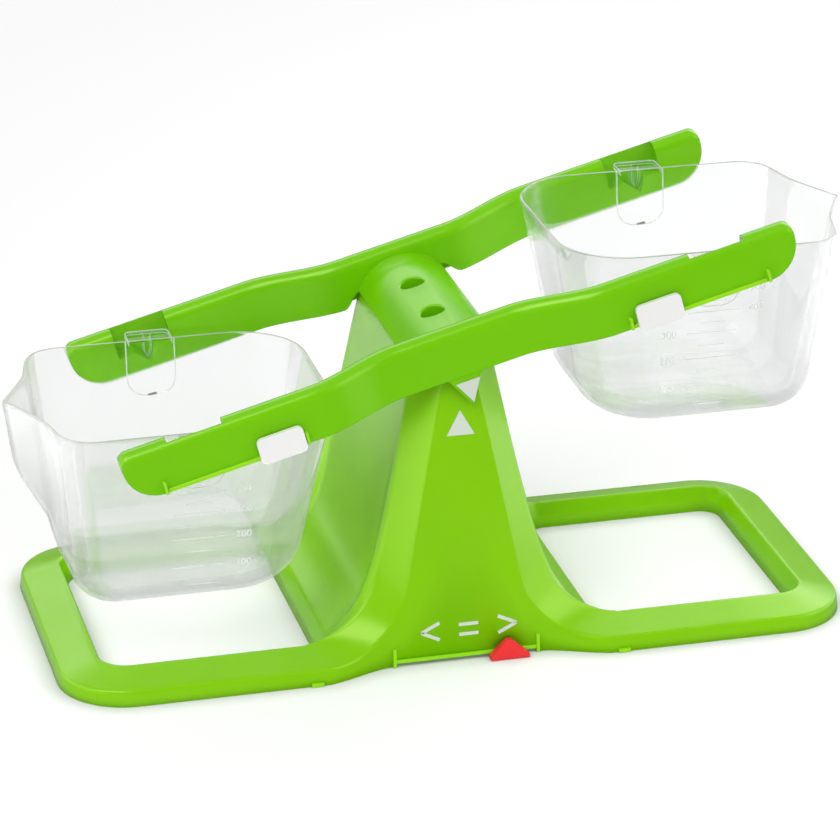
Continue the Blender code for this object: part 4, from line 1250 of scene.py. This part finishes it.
def add_lamp(name, place, target, size, power):
    data = bpy.data.lights.new(name, "AREA")
    data.size = size
    data.energy = power
    item = link_object(name, data)
    item.location = place
    item.rotation_euler = (Vector(target) - Vector(place)).to_track_quat("-Z", "Y").to_euler()


def assign(node, item):
    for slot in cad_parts[node].material_slots:
        slot.material = item
    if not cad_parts[node].material_slots:
        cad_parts[node].data.materials.append(item)


def keep(piece, body, slot, *nodes):
    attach(piece, body)
    if nodes:
        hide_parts(*nodes)


bpy.context.scene.view_settings.view_transform = "Standard"
add_camera()
add_world()
green = moulded("green_plastic", (0.218, 0.568, 0.001), (0.204, 0.548, 0.001), rough=0.24, specular=0.6,
                tint=GREEN_TINT, edge=GREEN_EDGE)
beam_green = moulded("beam_plastic", (0.172, 0.562, 0.001), (0.160, 0.542, 0.001), rough=0.24, specular=0.6,
                     tint=GREEN_TINT, edge=GREEN_EDGE)
# The trim of the stand and the yoke is the same green plastic painted lighter: a painted highlight for the
# light its small rounded edges catch.
painted_light_green = moulded("green_trim_painted_light", (0.310, 0.720, 0.015), (0.290, 0.690, 0.012), rough=0.25, tint=GREEN_TINT)
white = moulded("white_plastic", (0.84, 0.84, 0.83), (0.81, 0.81, 0.80), rough=0.30)
red = moulded("red_plastic", (0.86, 0.034, 0.036), (0.80, 0.028, 0.03), rough=0.28)
clear = clear_plastic()
# Painted light: pale lines on the clear edges and along the rim, standing in for the light they catch.
edge_highlight = lit_edge("clear_edge_highlight", (0.95, 0.97, 0.93), (0.90, 0.93, 0.89))
brim_reflection = lit_edge("clear_brim", (0.66, 0.69, 0.62), (0.58, 0.61, 0.55))
# Dark grey for the painted shade line below the back pad.
shade = moulded("painted_pad_shade", (0.26, 0.26, 0.24), (0.20, 0.20, 0.19), rough=0.5, specular=0.2)
ink = printed("panel_print", (0.62, 0.68, 0.60), (0.58, 0.64, 0.56))
scale_ink = printed("scale_print", (0.86, 0.88, 0.86), (0.80, 0.83, 0.80))

keep(make_stand(green), "base", "green_plastic", "base_stand")
keep(make_trim(painted_light_green), "base", "green_plastic", "base_stand")
keep(make_yoke(beam_green), "yoke", "green_plastic", "beam_yoke")
keep(make_yoke_trim(painted_light_green), "yoke", "green_plastic", "beam_yoke")
for node, finish, width in (("slider_left", white, SLIDER_EDGE), ("slider_right", white, SLIDER_EDGE),
                            ("comparison_slider", red, WEDGE_EDGE)):
    assign(node, finish)
    soften_cad(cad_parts[node], width)
for side, sign in BUCKET_SIDES:
    bucket = make_bucket("bucket_clear_" + side, sign, clear)
    keep(bucket, side + "_bucket", "clear_plastic", "bucket_" + side)
for side, sign in BUCKET_SIDES:
    for piece in make_edges("clear_" + side, sign, edge_highlight, brim_reflection, shade):
        keep(piece, side + "_bucket", "clear_plastic", "bucket_" + side)
keep(make_signs(ink), "base", "white_plastic")
keep(make_pointer_mark(ink), "yoke", "white_plastic")
for side, sign in BUCKET_SIDES:
    for piece in make_scale("scale_" + side, sign, LABELS_ON_LEFT[side], scale_ink):
        keep(piece, side + "_bucket", "white_plastic")
add_floor()
for settings in LAMPS:
    add_lamp(*settings)
